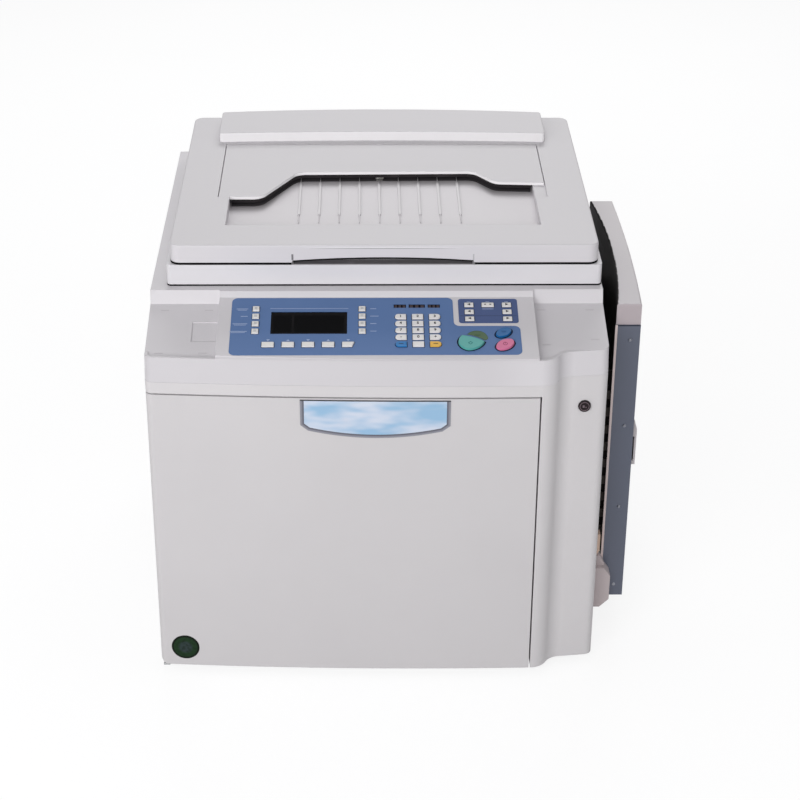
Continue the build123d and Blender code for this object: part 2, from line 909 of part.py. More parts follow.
def door_form(outline, x1, y1, z0, z1, radius):
    """The door as a solid inside an outline, with its lower left corner rounded."""
    face = Pos((left + x1) / 2, (z0 + z1) / 2) * Rectangle(x1 - left, z1 - z0)
    low_left = face.vertices().sort_by(lambda v: v.X + v.Y)[0]
    face = fillet(low_left, radius)
    plate = Plane((0, front - 20, 0), x_dir=(1, 0, 0), z_dir=(0, -1, 0)) * face
    return upright(outline, z0, z1) & extrude(plate, amount=y1 - front + 20, dir=(0, 1, 0))


def nameplate_form():
    """Shield-shaped plate that follows the door's bow."""
    a, b, top = across(-plate_left), across(plate_right), door_top - door_gap
    low, foot = top - plate_shoulder, top - plate_foot
    edges = [
        Line((a, top), (b, top)), Line((b, top), (b, low)), Line((b, low), (b - plate_inset, foot)),
        ThreePointArc((b - plate_inset, foot), ((a + b) / 2, top - plate_drop), (a + plate_inset, foot)),
        Line((a + plate_inset, foot), (a, low)), Line((a, low), (a, top)),
    ]
    face = Plane((0, front - 20, 0), x_dir=(1, 0, 0), z_dir=(0, -1, 0)) * make_face(edges)
    shield = extrude(face, amount=60, dir=(0, 1, 0))
    proud = upright(offset(outer_outline, amount=plate_stand), base_z, split_z)
    proud -= upright(offset(outer_outline, amount=plate_stand - plate_thickness), base_z - 1, split_z + 1)
    return proud & shield & block(left, right, front - 20, front + 20, base_z, split_z)


def front_door():
    """Door shell: bowed skin with folded edges, stiffening ribs and a bored boss for each pin."""
    x1 = left + door_width
    shell = door_form(outer_outline, x1, behind(door_depth), base_z, door_top, door_corner)
    hollow = door_form(inner_outline, x1 - wall, behind(door_depth) + 1, base_z + wall, door_top - wall, door_corner - wall)
    shell -= hollow
    inside = upright(inner_outline, base_z, door_top)
    for z in (base_z + 110, base_z + 220, base_z + 330):
        rib = block(left, x1, front - 20, behind(door_depth) - 6, z, z + door_rib)
        shell += inside & rib
    x, y = left + hinge_inset, behind(hinge_depth)
    outside = upright(outer_outline, base_z, door_top)
    for z0, z1 in ((base_z, base_z + hinge_engagement), (door_top - hinge_engagement, door_top)):
        shell += outside & rod_z(x, y, z0, z1, hinge_boss)
        shell -= rod_z(x, y, z0 - 1, z1 + 1, hinge_pin + running_gap)
    return shell - nameplate_form()


def door_hinges():
    """Lower pin on a lug under the base pan, and upper pin hung in the rail above the door."""
    x, y = left + hinge_inset, behind(hinge_depth)
    low, top = base_z - rest_gap, base_z + hinge_engagement - 1
    lug = rod_z(x, y, low - hinge_plate, top, hinge_pin)
    lug += block(x - hinge_boss, x + hinge_boss, y - hinge_boss, y + 40, low - hinge_plate, low)
    lug += block(x - hinge_boss, x + hinge_boss, behind(door_sweep + fit_gap) + 1, y + 40, low - 1, base_z)
    shelf = door_top + door_gap + wall
    pin = rod_z(x, y, door_top - hinge_engagement + 1, shelf + 2, hinge_pin)
    head = rod_z(x, y, shelf, shelf + 2, hinge_boss)
    pin += head & upright(offset(inner_outline, amount=-rest_gap), shelf, shelf + 2)
    return Compound(children=[lug, pin])


# Scanner

def scanner_housing():
    """Flat scanner box, open below, with the ledge that the glass lies on."""
    x0, x1 = across(-scanner_left), across(scanner_right)
    y0, y1 = behind(scanner_front), behind(scanner_back)
    shell = rounded_slab(x0, x1, y0, y1, deck_z, scanner_top, scanner_radius)
    roof = scanner_top - glass_thickness - sheet
    shell -= block(x0 + wall, x1 - wall, y0 + wall, y1 - wall, deck_z - 1, roof)
    a, b = across(-glass_left) - rest_gap, across(-glass_left + glass_width) + rest_gap
    c, d = behind(glass_front) - rest_gap, behind(glass_front + glass_depth) + rest_gap
    shell -= block(a, b, c, d, scanner_top - glass_thickness, scanner_top + 1)
    e = glass_ledge
    return shell - block(a + e, b - e, c + e, d - e, deck_z, scanner_top + 1)


def platen_glass():
    """Exposure glass, flush with the scanner's top."""
    x0, y0 = across(-glass_left), behind(glass_front)
    return block(x0, x0 + glass_width, y0, y0 + glass_depth, scanner_top - glass_thickness, scanner_top)


rail_z = deck_z + 11
rail_near = behind(rail_front)
rail_far = behind(rail_front + rail_spacing)


def scanner_rails():
    """Two round rails on end blocks, which stand on the deck."""
    x0, x1 = across(-scanner_left + wall) + 3, across(scanner_right - wall) - 3
    pieces = []
    for y in (rail_near, rail_far):
        rail = rod_x(y, rail_z, x0, x1, rail_radius)
        for a, b in ((x0, x0 + 10), (x1 - 10, x1)):
            rail += block(a, b, y - 8, y + 8, deck_z, rail_z + rail_radius + 2)
        pieces.append(rail)
    return Compound(children=pieces)


def scan_carriage():
    """Lamp carriage: a trough across both rails, with the lamp strip and the mirror slot."""
    x0 = across(-carriage_home) - carriage_width / 2
    x1 = x0 + carriage_width
    low = rail_z - 6.5
    body = block(x0, x1, rail_near - 10, rail_far + 10, low, low + carriage_height)
    body -= block(x0 + 4, x1 - 4, rail_near + 8, rail_far - 8, low + 3, low + carriage_height + 1)
    body += block(x0 + 8, x0 + 16, rail_near + 7, rail_far - 7, low + 2, low + carriage_height - 2)
    body += block(x0 + 24, x0 + 27, rail_near + 7, rail_far - 7, low + 2, low + carriage_height - 3)
    for y in (rail_near, rail_far):
        body -= rod_x(y, rail_z, x0 - 1, x1 + 1, rail_radius + running_gap)
    return body


# Lid

lid_axis_y = back - (cabinet_depth - scanner_back) + 5.0
lid_axis_z = lid_z + 1.0


def lid_outline(inset):
    """Rounded outline of the lid from above."""
    x0, x1 = across(-lid_left) + inset, across(lid_right) - inset
    y0, y1 = behind(lid_front) + inset, behind(scanner_back) - inset
    face = RectangleRounded(x1 - x0, y1 - y0, max(lid_radius - inset, 2.0))
    return Pos((x0 + x1) / 2, (y0 + y1) / 2) * face


def document_pocket():
    """Well for read originals: short ramp in front, flat floor that runs under the table."""
    floor = lid_top - pocket_depth
    profile = [
        (behind(pocket_front), lid_top), (behind(pocket_front + pocket_ramp), floor),
        (behind(pocket_back), floor), (behind(pocket_back), lid_top + 1), (behind(pocket_front), lid_top + 1),
    ]
    return through_x(profile, across(-pocket_left), across(pocket_right))


def finger_slot():
    """Arched notch under the lid's front edge."""
    a, b = across(-slot_left), across(slot_right)
    edges = [
        Line((a, lid_z - 1), (b, lid_z - 1)), Line((b, lid_z - 1), (b, lid_z + slot_rise * 0.4)),
        ThreePointArc((b, lid_z + slot_rise * 0.4), ((a + b) / 2, lid_z + slot_rise), (a, lid_z + slot_rise * 0.4)),
        Line((a, lid_z + slot_rise * 0.4), (a, lid_z - 1)),
    ]
    plane = Plane((0, behind(lid_front) - 2, 0), x_dir=(1, 0, 0), z_dir=(0, -1, 0))
    return extrude(plane * make_face(edges), amount=slot_depth + 2, dir=(0, 1, 0))


def lid_ears():
    """Hinge ears on the lid's rear edge, either side of each fixed knuckle."""
    ears = []
    for x in (across(-lid_hinge_x), across(lid_hinge_x)):
        for side in (-1, 1):
            near = x + side * (lid_hinge_width / 2 + rest_gap)
            far = near + side * lid_ear_width
            a, b = min(near, far), max(near, far)
            ear = rod_x(lid_axis_y, lid_axis_z, a, b, lid_knuckle)
            ear += block(a, b, behind(scanner_back) - 1, lid_axis_y, lid_z, lid_axis_z + lid_knuckle)
            ears.append(ear - rod_x(lid_axis_y, lid_axis_z, a - 1, b + 1, lid_pin + running_gap))
    return ears


def lid_shell():
    """Lid moulding: rounded slab with the document pocket, the table's seat and a hollow underside."""
    shell = upright(lid_outline(0), lid_z, lid_top)
    top_edges = shell.faces().sort_by(Axis.Z)[-1].edges()
    shell = fillet(top_edges, 2.0)
    hollow = upright(lid_outline(lid_rim), lid_z - 1, lid_top - lid_wall)
    a, b = across(-table_left) - table_gap - lid_wall, across(table_right) + table_gap + lid_wall
    c, d = behind(pocket_front) - lid_wall, behind(table_back) + table_gap + lid_wall
    hollow -= block(a, b, c, d, lid_top - table_thickness - lid_wall, lid_top)
    a, b = across(-pocket_left) - lid_wall, across(pocket_right) + lid_wall
    d = behind(pocket_back) + lid_wall
    hollow -= block(a, b, c, d, lid_top - pocket_depth - lid_wall, lid_top)
    shell -= hollow
    shell -= document_pocket()
    a, b = across(-table_left) - table_gap, across(table_right) + table_gap
    c, d = behind(table_front), behind(table_back) + table_gap
    shell -= block(a, b, c, d, lid_top - table_thickness, lid_top + 1)
    floor = lid_top - pocket_depth
    for n in range(rib_count):
        x = across(-rib_first + n * rib_pitch)
        shell += block(x - 0.6, x + 0.6, behind(pocket_front + pocket_ramp + 26), behind(pocket_back), floor, floor + rib_height)
    shell -= finger_slot()
    pin_y, pin_z = behind(table_back) - table_thickness / 2, lid_top - table_thickness / 2
    shell -= rod_x(pin_y, pin_z, a - 2.0, b + 2.0, table_pin + running_gap)
    return shell + lid_ears()


def document_table():
    """Flat table over the pocket, with a wavy front edge; it lifts on pins in its round rear edge."""
    edge = FilletPolyline(
        (across(-table_left), behind(table_front)), (across(-160), behind(table_front)),
        (across(-112), behind(408)), (across(140), behind(412)),
        (across(168), behind(372)), (across(table_right), behind(368)),
        radius=20,
    )
    a, b, far = across(-table_left), across(table_right), behind(table_back) - table_thickness / 2
    sides = [Line(edge @ 1, (b, far)), Line((b, far), (a, far)), Line((a, far), edge @ 0)]
    face = make_face([edge] + sides)
    plate = upright(face, lid_top - table_thickness, lid_top)
    axis_z = lid_top - table_thickness / 2
    plate += rod_x(far, axis_z, a, b, table_thickness / 2 - rest_gap)
    return plate + rod_x(far, axis_z, a - table_gap - 1.8, b + table_gap + 1.8, table_pin)


def bar_face(inset):
    """Outline of the lid's rear cover: both long edges are gently bowed."""
    a, b = across(-bar_left) + inset, across(bar_right) - inset
    near, far = behind(bar_front) + inset, behind(bar_back) - inset
    x = (a + b) / 2
    edges = [
        ThreePointArc((a, near), (x, near + bar_front_bow), (b, near)), Line((b, near), (b, far)),
        ThreePointArc((b, far), (x, far + bar_back_bow), (a, far)), Line((a, far), (a, near)),
    ]
    return make_face(edges)


def lid_rear_cover():
    """Raised cover along the lid's rear edge, hollow below."""
    cover = upright(bar_face(0), lid_top, lid_top + bar_height)
    corners = cover.edges().filter_by(Axis.Z)
    cover = fillet(corners, bar_radius)
    cover = fillet(cover.faces().sort_by(Axis.Z)[-1].edges(), 1.5)
    return cover - upright(bar_face(lid_wall), lid_top - 1, lid_top + bar_height - lid_wall)


def pressing_plate():
    """White plate under the lid, which lies on the glass with the original between them."""
    x0, x1 = across(-lid_left) + lid_rim - pad_margin, across(lid_right) - lid_rim + pad_margin
    y0, y1 = behind(lid_front) + lid_rim - pad_margin, behind(scanner_back) - lid_rim + pad_margin
    return rounded_slab(x0, x1, y0, y1, lid_z - pad_thickness, lid_z, 8.0)


def lid_hinges():
    """Two fixed knuckles with their pins, each on a foot that stands on the deck."""
    pieces = []
    y0 = behind(scanner_back)
    for x in (across(-lid_hinge_x), across(lid_hinge_x)):
        a, b = x - lid_hinge_width / 2, x + lid_hinge_width / 2
        hinge = rod_x(lid_axis_y, lid_axis_z, a, b, lid_knuckle)
        hinge += block(a, b, y0 + 0.5, y0 + 6, deck_z, lid_axis_z - 1.0)
        reach = lid_ear_width + rest_gap
        hinge += rod_x(lid_axis_y, lid_axis_z, a - reach, b + reach, lid_pin)
        pieces.append(hinge)
    return Compound(children=pieces)


# Print drum

def drum_frame():
    """Front disc with its handle, the sleeve that the drum turns on, and the rear peg."""
    x, y0 = across(drum_x), behind(front_frame_y) - 2
    body = rod_y(x, drum_z, y0, y0 + disc_thickness, disc_radius)
    rear = behind(rear_frame_y) - 12
    body += rod_y(x, drum_z, y0, rear, sleeve_radius)
    body -= rod_y(x, drum_z, y0 - 1, rear - wall, sleeve_bore)
    body += rod_y(x, drum_z, rear, behind(rear_frame_y) + sheet, drum_peg)
    grip_y = behind(door_depth) + 24
    for side in (-1, 1):
        body += rod_y(x + side * 62, drum_z - 30, grip_y, y0 + 1, 5.0)
    body += rod_x(grip_y, drum_z - 30, x - 62, x + 62, 6.0)
    return body


def drum_cylinder():
    """Screen drum that carries the master and the ink, with the recessed master clamp."""
    x, y0 = across(drum_x), behind(drum_front)
    y1 = y0 + drum_length
    drum = rod_y(x, drum_z, y0, y1, drum_radius)
    drum -= rod_y(x, drum_z, y0 + drum_flange, y1 - drum_flange, drum_radius - drum_shell)
    drum -= rod_y(x, drum_z, y0 - 1, y1 + 1, sleeve_radius + running_gap)
    for n in range(6):
        turn = radians(60 * n + 30)
        hole_x, hole_z = x + 64 * cos(turn), drum_z + 64 * sin(turn)
        drum -= rod_y(hole_x, hole_z, y0 - 1, y1 + 1, 12.0)
    top = drum_z + drum_radius
    half = clamp_width / 2
    drum -= block(x - half, x + half, y0 + 12, y1 - 12, top - clamp_depth, top + 1)
    clamp = block(x - half + 2, x + half - 2, y0 + 16, y1 - 16, top - clamp_depth, top - 1)
    return drum + clamp


def gear_face(teeth, bore, thin):
    """Spur gear outline with 20 degree involute flanks, each tooth thinned by half the backlash."""
    pitch = gear_module * teeth / 2
    base = pitch * cos(radians(20))
    root, tip = pitch - 1.25 * gear_module, pitch + 0.95 * gear_module
    half = pi / (2 * teeth) - thin / pitch
    flare = tan(radians(20)) - radians(20)
    points = []
    for tooth in range(teeth):
        centre = 2 * pi * tooth / teeth
        flank = []
        for radius in (max(base, root), pitch, tip):
            angle = acos(base / radius)
            flank.append((radius, half + flare - (tan(angle) - angle)))
        if root < base:
            flank.insert(0, (root, flank[0][1]))
        else:
            flank[0] = (root, flank[0][1])
        for radius, side in flank:
            points.append((radius * cos(centre - side), radius * sin(centre - side)))
        for radius, side in reversed(flank):
            points.append((radius * cos(centre + side), radius * sin(centre + side)))
    face = make_face(Polyline(*points, close=True))
    return face - Circle(bore) if bore else face


gear_y = behind(drum_front) + drum_length


def gear_solid(face, x, z, turn):
    """A gear in the drum's gear plane, turned by an angle about its own axis."""
    plane = Plane((x, gear_y, z), x_dir=(1, 0, 0), z_dir=(0, -1, 0))
    return extrude(plane * Rot(0, 0, turn) * face, amount=gear_width, dir=(0, 1, 0))


def drum_gear():
    """Ring gear on the drum's rear flange; one tooth points at the pinion."""
    face = gear_face(gear_teeth, sleeve_radius + running_gap, gear_backlash / 2)
    return gear_solid(face, across(drum_x), drum_z, pinion_angle)


def motor_pinion():
    """Motor pinion with its shaft; one tooth gap faces the drum."""
    face = gear_face(pinion_teeth, 0, gear_backlash / 2)
    turn = pinion_angle + 180 + 180 / pinion_teeth
    pinion = gear_solid(face, pinion_x, pinion_z, turn)
    shaft_end = behind(rear_frame_y) + sheet + motor_shaft_bore - 1
    return pinion + rod_y(pinion_x, pinion_z, gear_y + gear_width, shaft_end, motor_shaft)


def main_motor():
    """Drive motor: flanged can on the rear plate, with the bearing that the pinion's shaft turns in."""
    y0 = behind(rear_frame_y) + sheet
    half, far = motor_flange / 2, y0 + motor_length
    motor = rod_y(pinion_x, pinion_z, y0 + motor_plate, far, motor_radius)
    motor += block(pinion_x - half, pinion_x + half, y0, y0 + motor_plate, pinion_z - half, pinion_z + half)
    motor += rod_y(pinion_x, pinion_z, far, far + motor_bearing_length, motor_bearing)
    return motor - rod_y(pinion_x, pinion_z, y0 - 1, y0 + motor_shaft_bore, motor_shaft + running_gap)


def ink_cartridge():
    """Ink cartridge in the drum's sleeve, with its front cap and pull tab."""
    x, y0 = across(drum_x), behind(front_frame_y) - 2
    body = rod_y(x, drum_z, y0 - 6, y0, cartridge_cap)
    body += rod_y(x, drum_z, y0, y0 + cartridge_length, sleeve_bore - rest_gap)
    return body + block(x - 5, x + 5, y0 - 20, y0 - 6, drum_z - 24, drum_z + 24)


def pressure_roller():
    """Rubber roller that presses the paper on the drum from below."""
    x, y0 = across(drum_x), behind(press_front)
    roller = rod_y(x, press_z, y0, y0 + press_length, press_radius)
    return roller + rod_y(x, press_z, behind(front_frame_y) - 3, behind(rear_frame_y) + sheet + 3, press_shaft)


def feed_roller():
    """Paper feed roller: two rubber tyres on one shaft."""
    x, y = across(feed_x), behind(tray_front + tray_width / 2)
    roller = rod_y(x, feed_z, behind(front_frame_y) - 3, behind(rear_frame_y) + sheet + 3, feed_shaft)
    for side in (-1, 1):
        near = y + side * feed_tyre_gap / 2
        far = near + side * feed_tyre
        roller += rod_y(x, feed_z, min(near, far), max(near, far), feed_radius)
    return roller


def feed_guide():
    """Steel paper guide between the frame plates, with the separation pad under the feed roller."""
    y0, y1 = behind(front_frame_y) + sheet, behind(rear_frame_y)
    inner, outer = across(guide_plate_inner), across(guide_plate_outer)
    x, y = across(feed_x), behind(tray_front + tray_width / 2)
    profile = [
        (inner, guide_plate_z), (outer - 12, guide_plate_z), (outer, guide_plate_z - 12),
        (outer - 2, guide_plate_z - 12), (outer - 13, guide_plate_z - sheet), (inner, guide_plate_z - sheet),
    ]
    plate = through_y(profile, y0, y1)
    pad_top = feed_z - feed_radius - rest_gap
    return plate + block(x - 9, x + 6, y - 24, y + 24, guide_plate_z - sheet, pad_top)


def master_unit():
    """Cradle for the master roll: floor between the frame plates, two cheeks, thermal head bar."""
    y0, y1 = behind(front_frame_y) + sheet, behind(rear_frame_y)
    inner, outer = across(cradle_inner), across(cradle_outer)
    cradle = block(inner, outer, y0, y1, cradle_floor, cradle_floor + sheet)
    cradle += block(inner, inner + sheet, y0, y1, cradle_floor, cradle_floor + 22)
    cradle += block(outer - sheet, outer, y0, y1, cradle_floor, cradle_floor + 12)
    bore = roll_core + running_gap
    for y in (y0 + cradle_plate_inset, y1 - cradle_plate_inset - sheet):
        cheek = [
            (inner, cradle_floor), (outer, cradle_floor), (outer, cradle_floor + 22),
            (across(roll_x) + 30, cradle_top), (across(roll_x) - 30, cradle_top), (inner, cradle_floor + 36),
        ]
        cradle += through_y(cheek, y, y + sheet)
        cradle -= rod_y(across(roll_x), roll_z, y - 1, y + sheet + 1, bore)
    return cradle


def master_roll():
    """Roll of master film on its core, whose ends turn in the cradle's cheeks."""
    x, y0 = across(roll_x), behind(roll_front)
    roll = rod_y(x, roll_z, y0, y0 + roll_length, roll_radius)
    near = behind(front_frame_y) + sheet + cradle_plate_inset - 3
    far = behind(rear_frame_y) - cradle_plate_inset + 3
    roll += rod_y(x, roll_z, near, far, roll_core)
    return roll - rod_y(x, roll_z, near - 1, far + 1, roll_core - 3)


def eject_box():
    """Bin for used masters: open on top, its front flush with the frame plate."""
    x0, x1 = across(-box_left), across(-box_right)
    y0, y1 = behind(front_frame_y) - 2, behind(front_frame_y) + box_length
    low, high, w = box_low, box_high, box_wall
    bin_shell = block(x0, x1, y0, y1, low, high) - block(x0 + w, x1 - w, y0 + w + 6, y1 - w, low + w, high + 1)
    centre = (x0 + x1) / 2
    bin_shell -= block(centre - 34, centre + 34, y0 - 1, y0 + 6, high - 50, high - 26)
    return bin_shell


def delivery_unit():
    """Suction bed behind the drum: a hollow tray with slots under the belts, and the belts on it."""
    x0, x1 = across(-belt_left), across(-belt_right)
    y0, y1 = behind(front_frame_y) + sheet, behind(rear_frame_y)
    bed = block(x0, x1, y0, y1, belt_low, belt_high)
    bed -= block(x0 + sheet, x1 - sheet, y0 + sheet, y1 - sheet, belt_low - 1, belt_high - sheet)
    step = belt_depth / belt_count
    for n in range(belt_count):
        y = behind(belt_front) + (n + 0.5) * step
        for side in (-1, 1):
            near = y + side * (belt_width / 2 + 14)
            bed -= block(x0 + 24, x1 - 24, near - 5, near + 5, belt_high - sheet - 1, belt_high + 1)
        bed += block(x0 + 6, x1 - 6, y - belt_width / 2, y + belt_width / 2, belt_high, belt_high + 2)
    return bed


# Rear services

fan_y = back - wall


def fan_housing():
    """Fan frame on the back panel: round duct, three struts and the hub pin."""
    x = across(fan_x)
    half = fan_radius + 4
    frame = block(x - half, x + half, fan_y - fan_depth, fan_y, fan_z - half, fan_z + half)
    frame -= rod_y(x, fan_z, fan_y - fan_depth - 1, fan_y + 1, fan_radius)
    hub = rod_y(x, fan_z, fan_y - fan_depth, fan_y - fan_depth + 3, fan_hub)
    for n in range(3):
        turn = 90 + 120 * n
        strut = Pos(fan_radius / 2 + 2, 0, 0) * Box(fan_radius + 2, 4, 3)
        hub += Pos(x, fan_y - fan_depth + 1.5, fan_z) * Rot(90, 0, 0) * Rot(0, 0, turn) * strut
    return frame + hub + rod_y(x, fan_z, fan_y - fan_depth, fan_y - 4, fan_pin)


def fan_rotor():
    """Fan rotor: cup-shaped hub with pitched blades."""
    x, y0, y1 = across(fan_x), fan_y - fan_depth + 4, fan_y - 3
    rotor = rod_y(x, fan_z, y0, y1, fan_hub)
    for n in range(fan_blades):
        blade = Pos((fan_hub + fan_radius) / 2 - 2, 0, 0) * Rot(35, 0, 0) * Box(fan_radius - fan_hub, 17, 1.6)
        turn = 360 * n / fan_blades
        rotor += Pos(x, (y0 + y1) / 2, fan_z) * Rot(90, 0, 0) * Rot(0, 0, turn) * blade
    return rotor - rod_y(x, fan_z, y0 - 1, fan_y - 3.5, fan_pin + running_gap)


def power_supply():
    """Power supply in its perforated steel case, standing on the base pan."""
    x0, y0 = across(supply_left), behind(supply_front)
    x1, y1, top = x0 + supply_width, y0 + supply_depth, frame_floor + supply_height
    case = block(x0, x1, y0, y1, frame_floor, top)
    for n in range(6):
        x = x0 + 30 + n * 24
        case -= block(x, x + 12, y0 - 1, y0 + 1.5, frame_floor + 30, frame_floor + 70)
    return case + block(x0 + 20, x1 - 20, y0 + 10, y1 - 10, top, top + 3)


def power_inlet():
    """Inlet module in the back panel: appliance socket with three pins, and the switch's frame."""
    x, z, outer = across(inlet_x), inlet_z, back + inlet_stand
    half_w, half_h = inlet_plate_width / 2, inlet_plate_height / 2
    body = block(x - half_w, x + half_w, back, outer, z - half_h, z + half_h)
    half_w, half_h = half_w - 3.5, half_h - 3.5
    body += block(x - half_w, x + half_w, outer - inlet_depth, back, z - half_h, z + half_h)
    socket_x, rocker_x = x - 14, x + 19
    a, b = socket_x - socket_width / 2, socket_x + socket_width / 2
    body -= block(a, b, outer - socket_depth, outer + 1, z - socket_height / 2, z + socket_height / 2)
    for pin_x, pin_z in ((-7, -3), (7, -3), (0, 3)):
        body += rod_y(socket_x + pin_x, z + pin_z, outer - socket_depth, outer - 4, socket_pin)
    half_w, half_h = rocker_width / 2 + rest_gap, rocker_height / 2 + rest_gap
    low = outer - inlet_depth + 3
    body -= block(rocker_x - half_w, rocker_x + half_w, low, outer + 1, z - half_h, z + half_h)
    return body - rod_x(rocker_y, z, rocker_x - half_w - 1.5, rocker_x + half_w + 1.5, 1.5 + running_gap)


rocker_y = back - 4.0


def power_switch():
    """Rocker of the mains switch, resting in its off position."""
    x = across(inlet_x) + 19
    half_w, half_h = rocker_width / 2, rocker_height / 2 - 1.5
    front_y, crown = rocker_y + 4.0, 2.0
    profile = [
        (rocker_y - 5, -5), (rocker_y + 1, -half_h), (front_y + crown, -half_h),
        (front_y, 0), (front_y + crown, half_h), (rocker_y + 1, half_h), (rocker_y - 5, 5),
    ]
    cap = through_x([(y - rocker_y, z) for y, z in profile], x - half_w, x + half_w)
    cap += rod_x(0, 0, x - half_w - 1.2, x + half_w + 1.2, 1.5)
    return Pos(0, rocker_y, inlet_z) * Rot(rocker_tilt, 0, 0) * cap


# Paper tray on the right

tray_middle = tray_front + tray_width / 2
hub_front = tray_front - sheet - rest_gap - hub_width
pivot_x = right + pivot_out
tray_inner = right + tray_gap
tray_outer = tray_inner + tray_thickness


def flipped(part):
    """The same part at the other end of the tray."""
    return mirror(part, about=Plane.XZ.offset(-behind(tray_middle)))


def arm_places():
    """Front face of each lift arm."""
    near = hub_front + 5
    return (behind(near), behind(2 * tray_middle - near - arm_thickness))


def lift_carriage():
    """Tray lift: cross beam on two upright rods, two arms through the cover, and the hubs outside."""
    x0, x1 = across(beam_x), across(beam_x) + beam_width
    y0, y1 = arm_places()
    beam = block(x0, x1, behind(front_frame_y) + 6, behind(2 * tray_middle - front_frame_y) - 6, arm_low, arm_high)
    for y in (behind(lift_rod_y), behind(2 * tray_middle - lift_rod_y)):
        beam -= rod_z(across(lift_rod_x), y, arm_low - 1, arm_high + 1, lift_rod + running_gap)
    for y in (y0, y1):
        beam += block(x0, right + 6, y, y + arm_thickness, arm_low, arm_high)
    h0, h1, c = right + fit_gap, right + hub_out, hub_chamfer
    face = [
        (h0, hub_low), (h1 - c, hub_low), (h1, hub_low + c), (h1, hub_high - c),
        (h1 - 0.7 * c, hub_high), (h0, hub_high),
    ]
    hub = through_y(face, behind(hub_front), behind(hub_front + hub_width))
    rim = [(h0, hub_high - 10), (h1 - 6, hub_high - 12), (h1 - 9, hub_high + 4), (h1 - 16, hub_rim), (h0, hub_rim)]
    hub += through_y(rim, behind(hub_front + 9), behind(hub_front + hub_width))
    stop_x = right + stop_block_out
    stop = [
        (h0 + 3, hub_rim), (stop_x - 5, hub_rim), (stop_x, hub_rim + 9),
        (stop_x, stop_block_top), (h0 + 3, stop_block_top),
    ]
    hub += through_y(stop, behind(hub_front + 9), behind(hub_front + hub_width))
    hub += rod_y(pivot_x, pivot_z, behind(hub_front + hub_width) - 1, behind(tray_front) + wall, pivot_pin)
    return beam + hub + flipped(hub)


lift_rod_x = beam_x + beam_width / 2
lift_rod_y = front_frame_y + 13.0


def lift_rods():
    """Two upright guide rods with lugs to the frame plates."""
    rods = []
    x = across(lift_rod_x)
    for y, wall_y in ((lift_rod_y, front_frame_y + sheet), (2 * tray_middle - lift_rod_y, rear_frame_y)):
        rod = rod_z(x, behind(y), frame_floor, lift_rod_top, lift_rod)
        a, b = sorted((behind(y), behind(wall_y)))
        rod += block(x - 4, x + 4, a, b, lift_rod_top - 8, lift_rod_top)
        rod += block(x - 7, x + 7, behind(y) - 7, behind(y) + 7, frame_floor, frame_floor + 6)
        rods.append(rod)
    return Compound(children=rods)


def tray_section(inset, bow):
    """Tray seen end on from above: inner edge at a bow, outer edge bowed outwards."""
    a, b = behind(tray_front) + inset, behind(tray_front + tray_width) - inset
    x0, x1, y = tray_inner + inset, tray_outer - inset, (a + b) / 2
    edges = [
        ThreePointArc((x0, a), (x0 + bow, y), (x0, b)) if bow else Line((x0, a), (x0, b)),
        Line((x0, b), (x1, b)), ThreePointArc((x1, b), (x1 + tray_bow_out, y), (x1, a)), Line((x1, a), (x0, a)),
    ]
    return make_face(edges)


def feed_tray():
    """Tray moulding: bowed cap, side walls, paper face set back between them, hollow underside."""
    body = upright(tray_section(0, tray_bow_in), tray_plate_top, tray_top)
    body = fillet(body.faces().sort_by(Axis.Z)[-1].edges(), 2.0)
    paper_x = tray_inner + tray_bow_in
    low = upright(tray_section(0, 0), tray_low, tray_plate_top)
    a, b = behind(tray_front) + wall, behind(tray_front + tray_width) - wall
    low -= block(tray_inner - 1, paper_x, a, b, tray_low - 1, tray_plate_top)
    body += low
    hollow = upright(tray_section(wall, 0), tray_low - 1, tray_top - wall)
    hollow &= block(paper_x + wall, tray_outer + 9, a, b, tray_low - 1, tray_top - wall)
    y0 = behind(handle_front) - 6
    y1 = y0 + grip_pocket_width
    x0 = tray_outer - grip_pocket_depth
    hollow -= block(x0 - sheet, tray_outer + 9, y0 - sheet, y1 + sheet, grip_pocket_low - sheet, grip_pocket_high + sheet)
    body -= hollow
    body -= block(x0, tray_outer + 9, y0, y1, grip_pocket_low, grip_pocket_high)
    for y in (behind(tray_front), behind(tray_front + tray_width) - wall):
        body -= rod_y(pivot_x, pivot_z, y - 1, y + wall + 1, pivot_pin + running_gap)
    return body


def tray_side_plates():
    """Steel plate on each end of the tray, with the bore for its pivot pin."""
    y = behind(tray_front)
    plate = block(tray_inner - 1, tray_outer, y - sheet, y, tray_low, tray_plate_top)
    plate += block(pivot_x - 10, tray_inner, y - sheet, y, pivot_z - 14, pivot_z + 14)
    plate -= rod_y(pivot_x, pivot_z, y - sheet - 1, y + 1, pivot_pin + running_gap)
    return Compound(children=[plate, flipped(plate)])


def tray_handle():
    """Grip on the tray's outer face: sloping hood, upright bar and foot, open behind."""
    y0 = behind(handle_front)
    y1 = y0 + handle_width
    outer = tray_outer + handle_reach
    profile = [(tray_outer, handle_high), (outer, handle_shoulder), (outer, handle_low), (tray_outer, handle_low)]
    grip = through_y(profile, y0, y1) - upright(tray_section(0, 0), tray_low, tray_plate_top)
    return grip - block(tray_outer - 1, outer - 3, y0 - 1, y1 + 1, grip_pocket_low, grip_pocket_high)


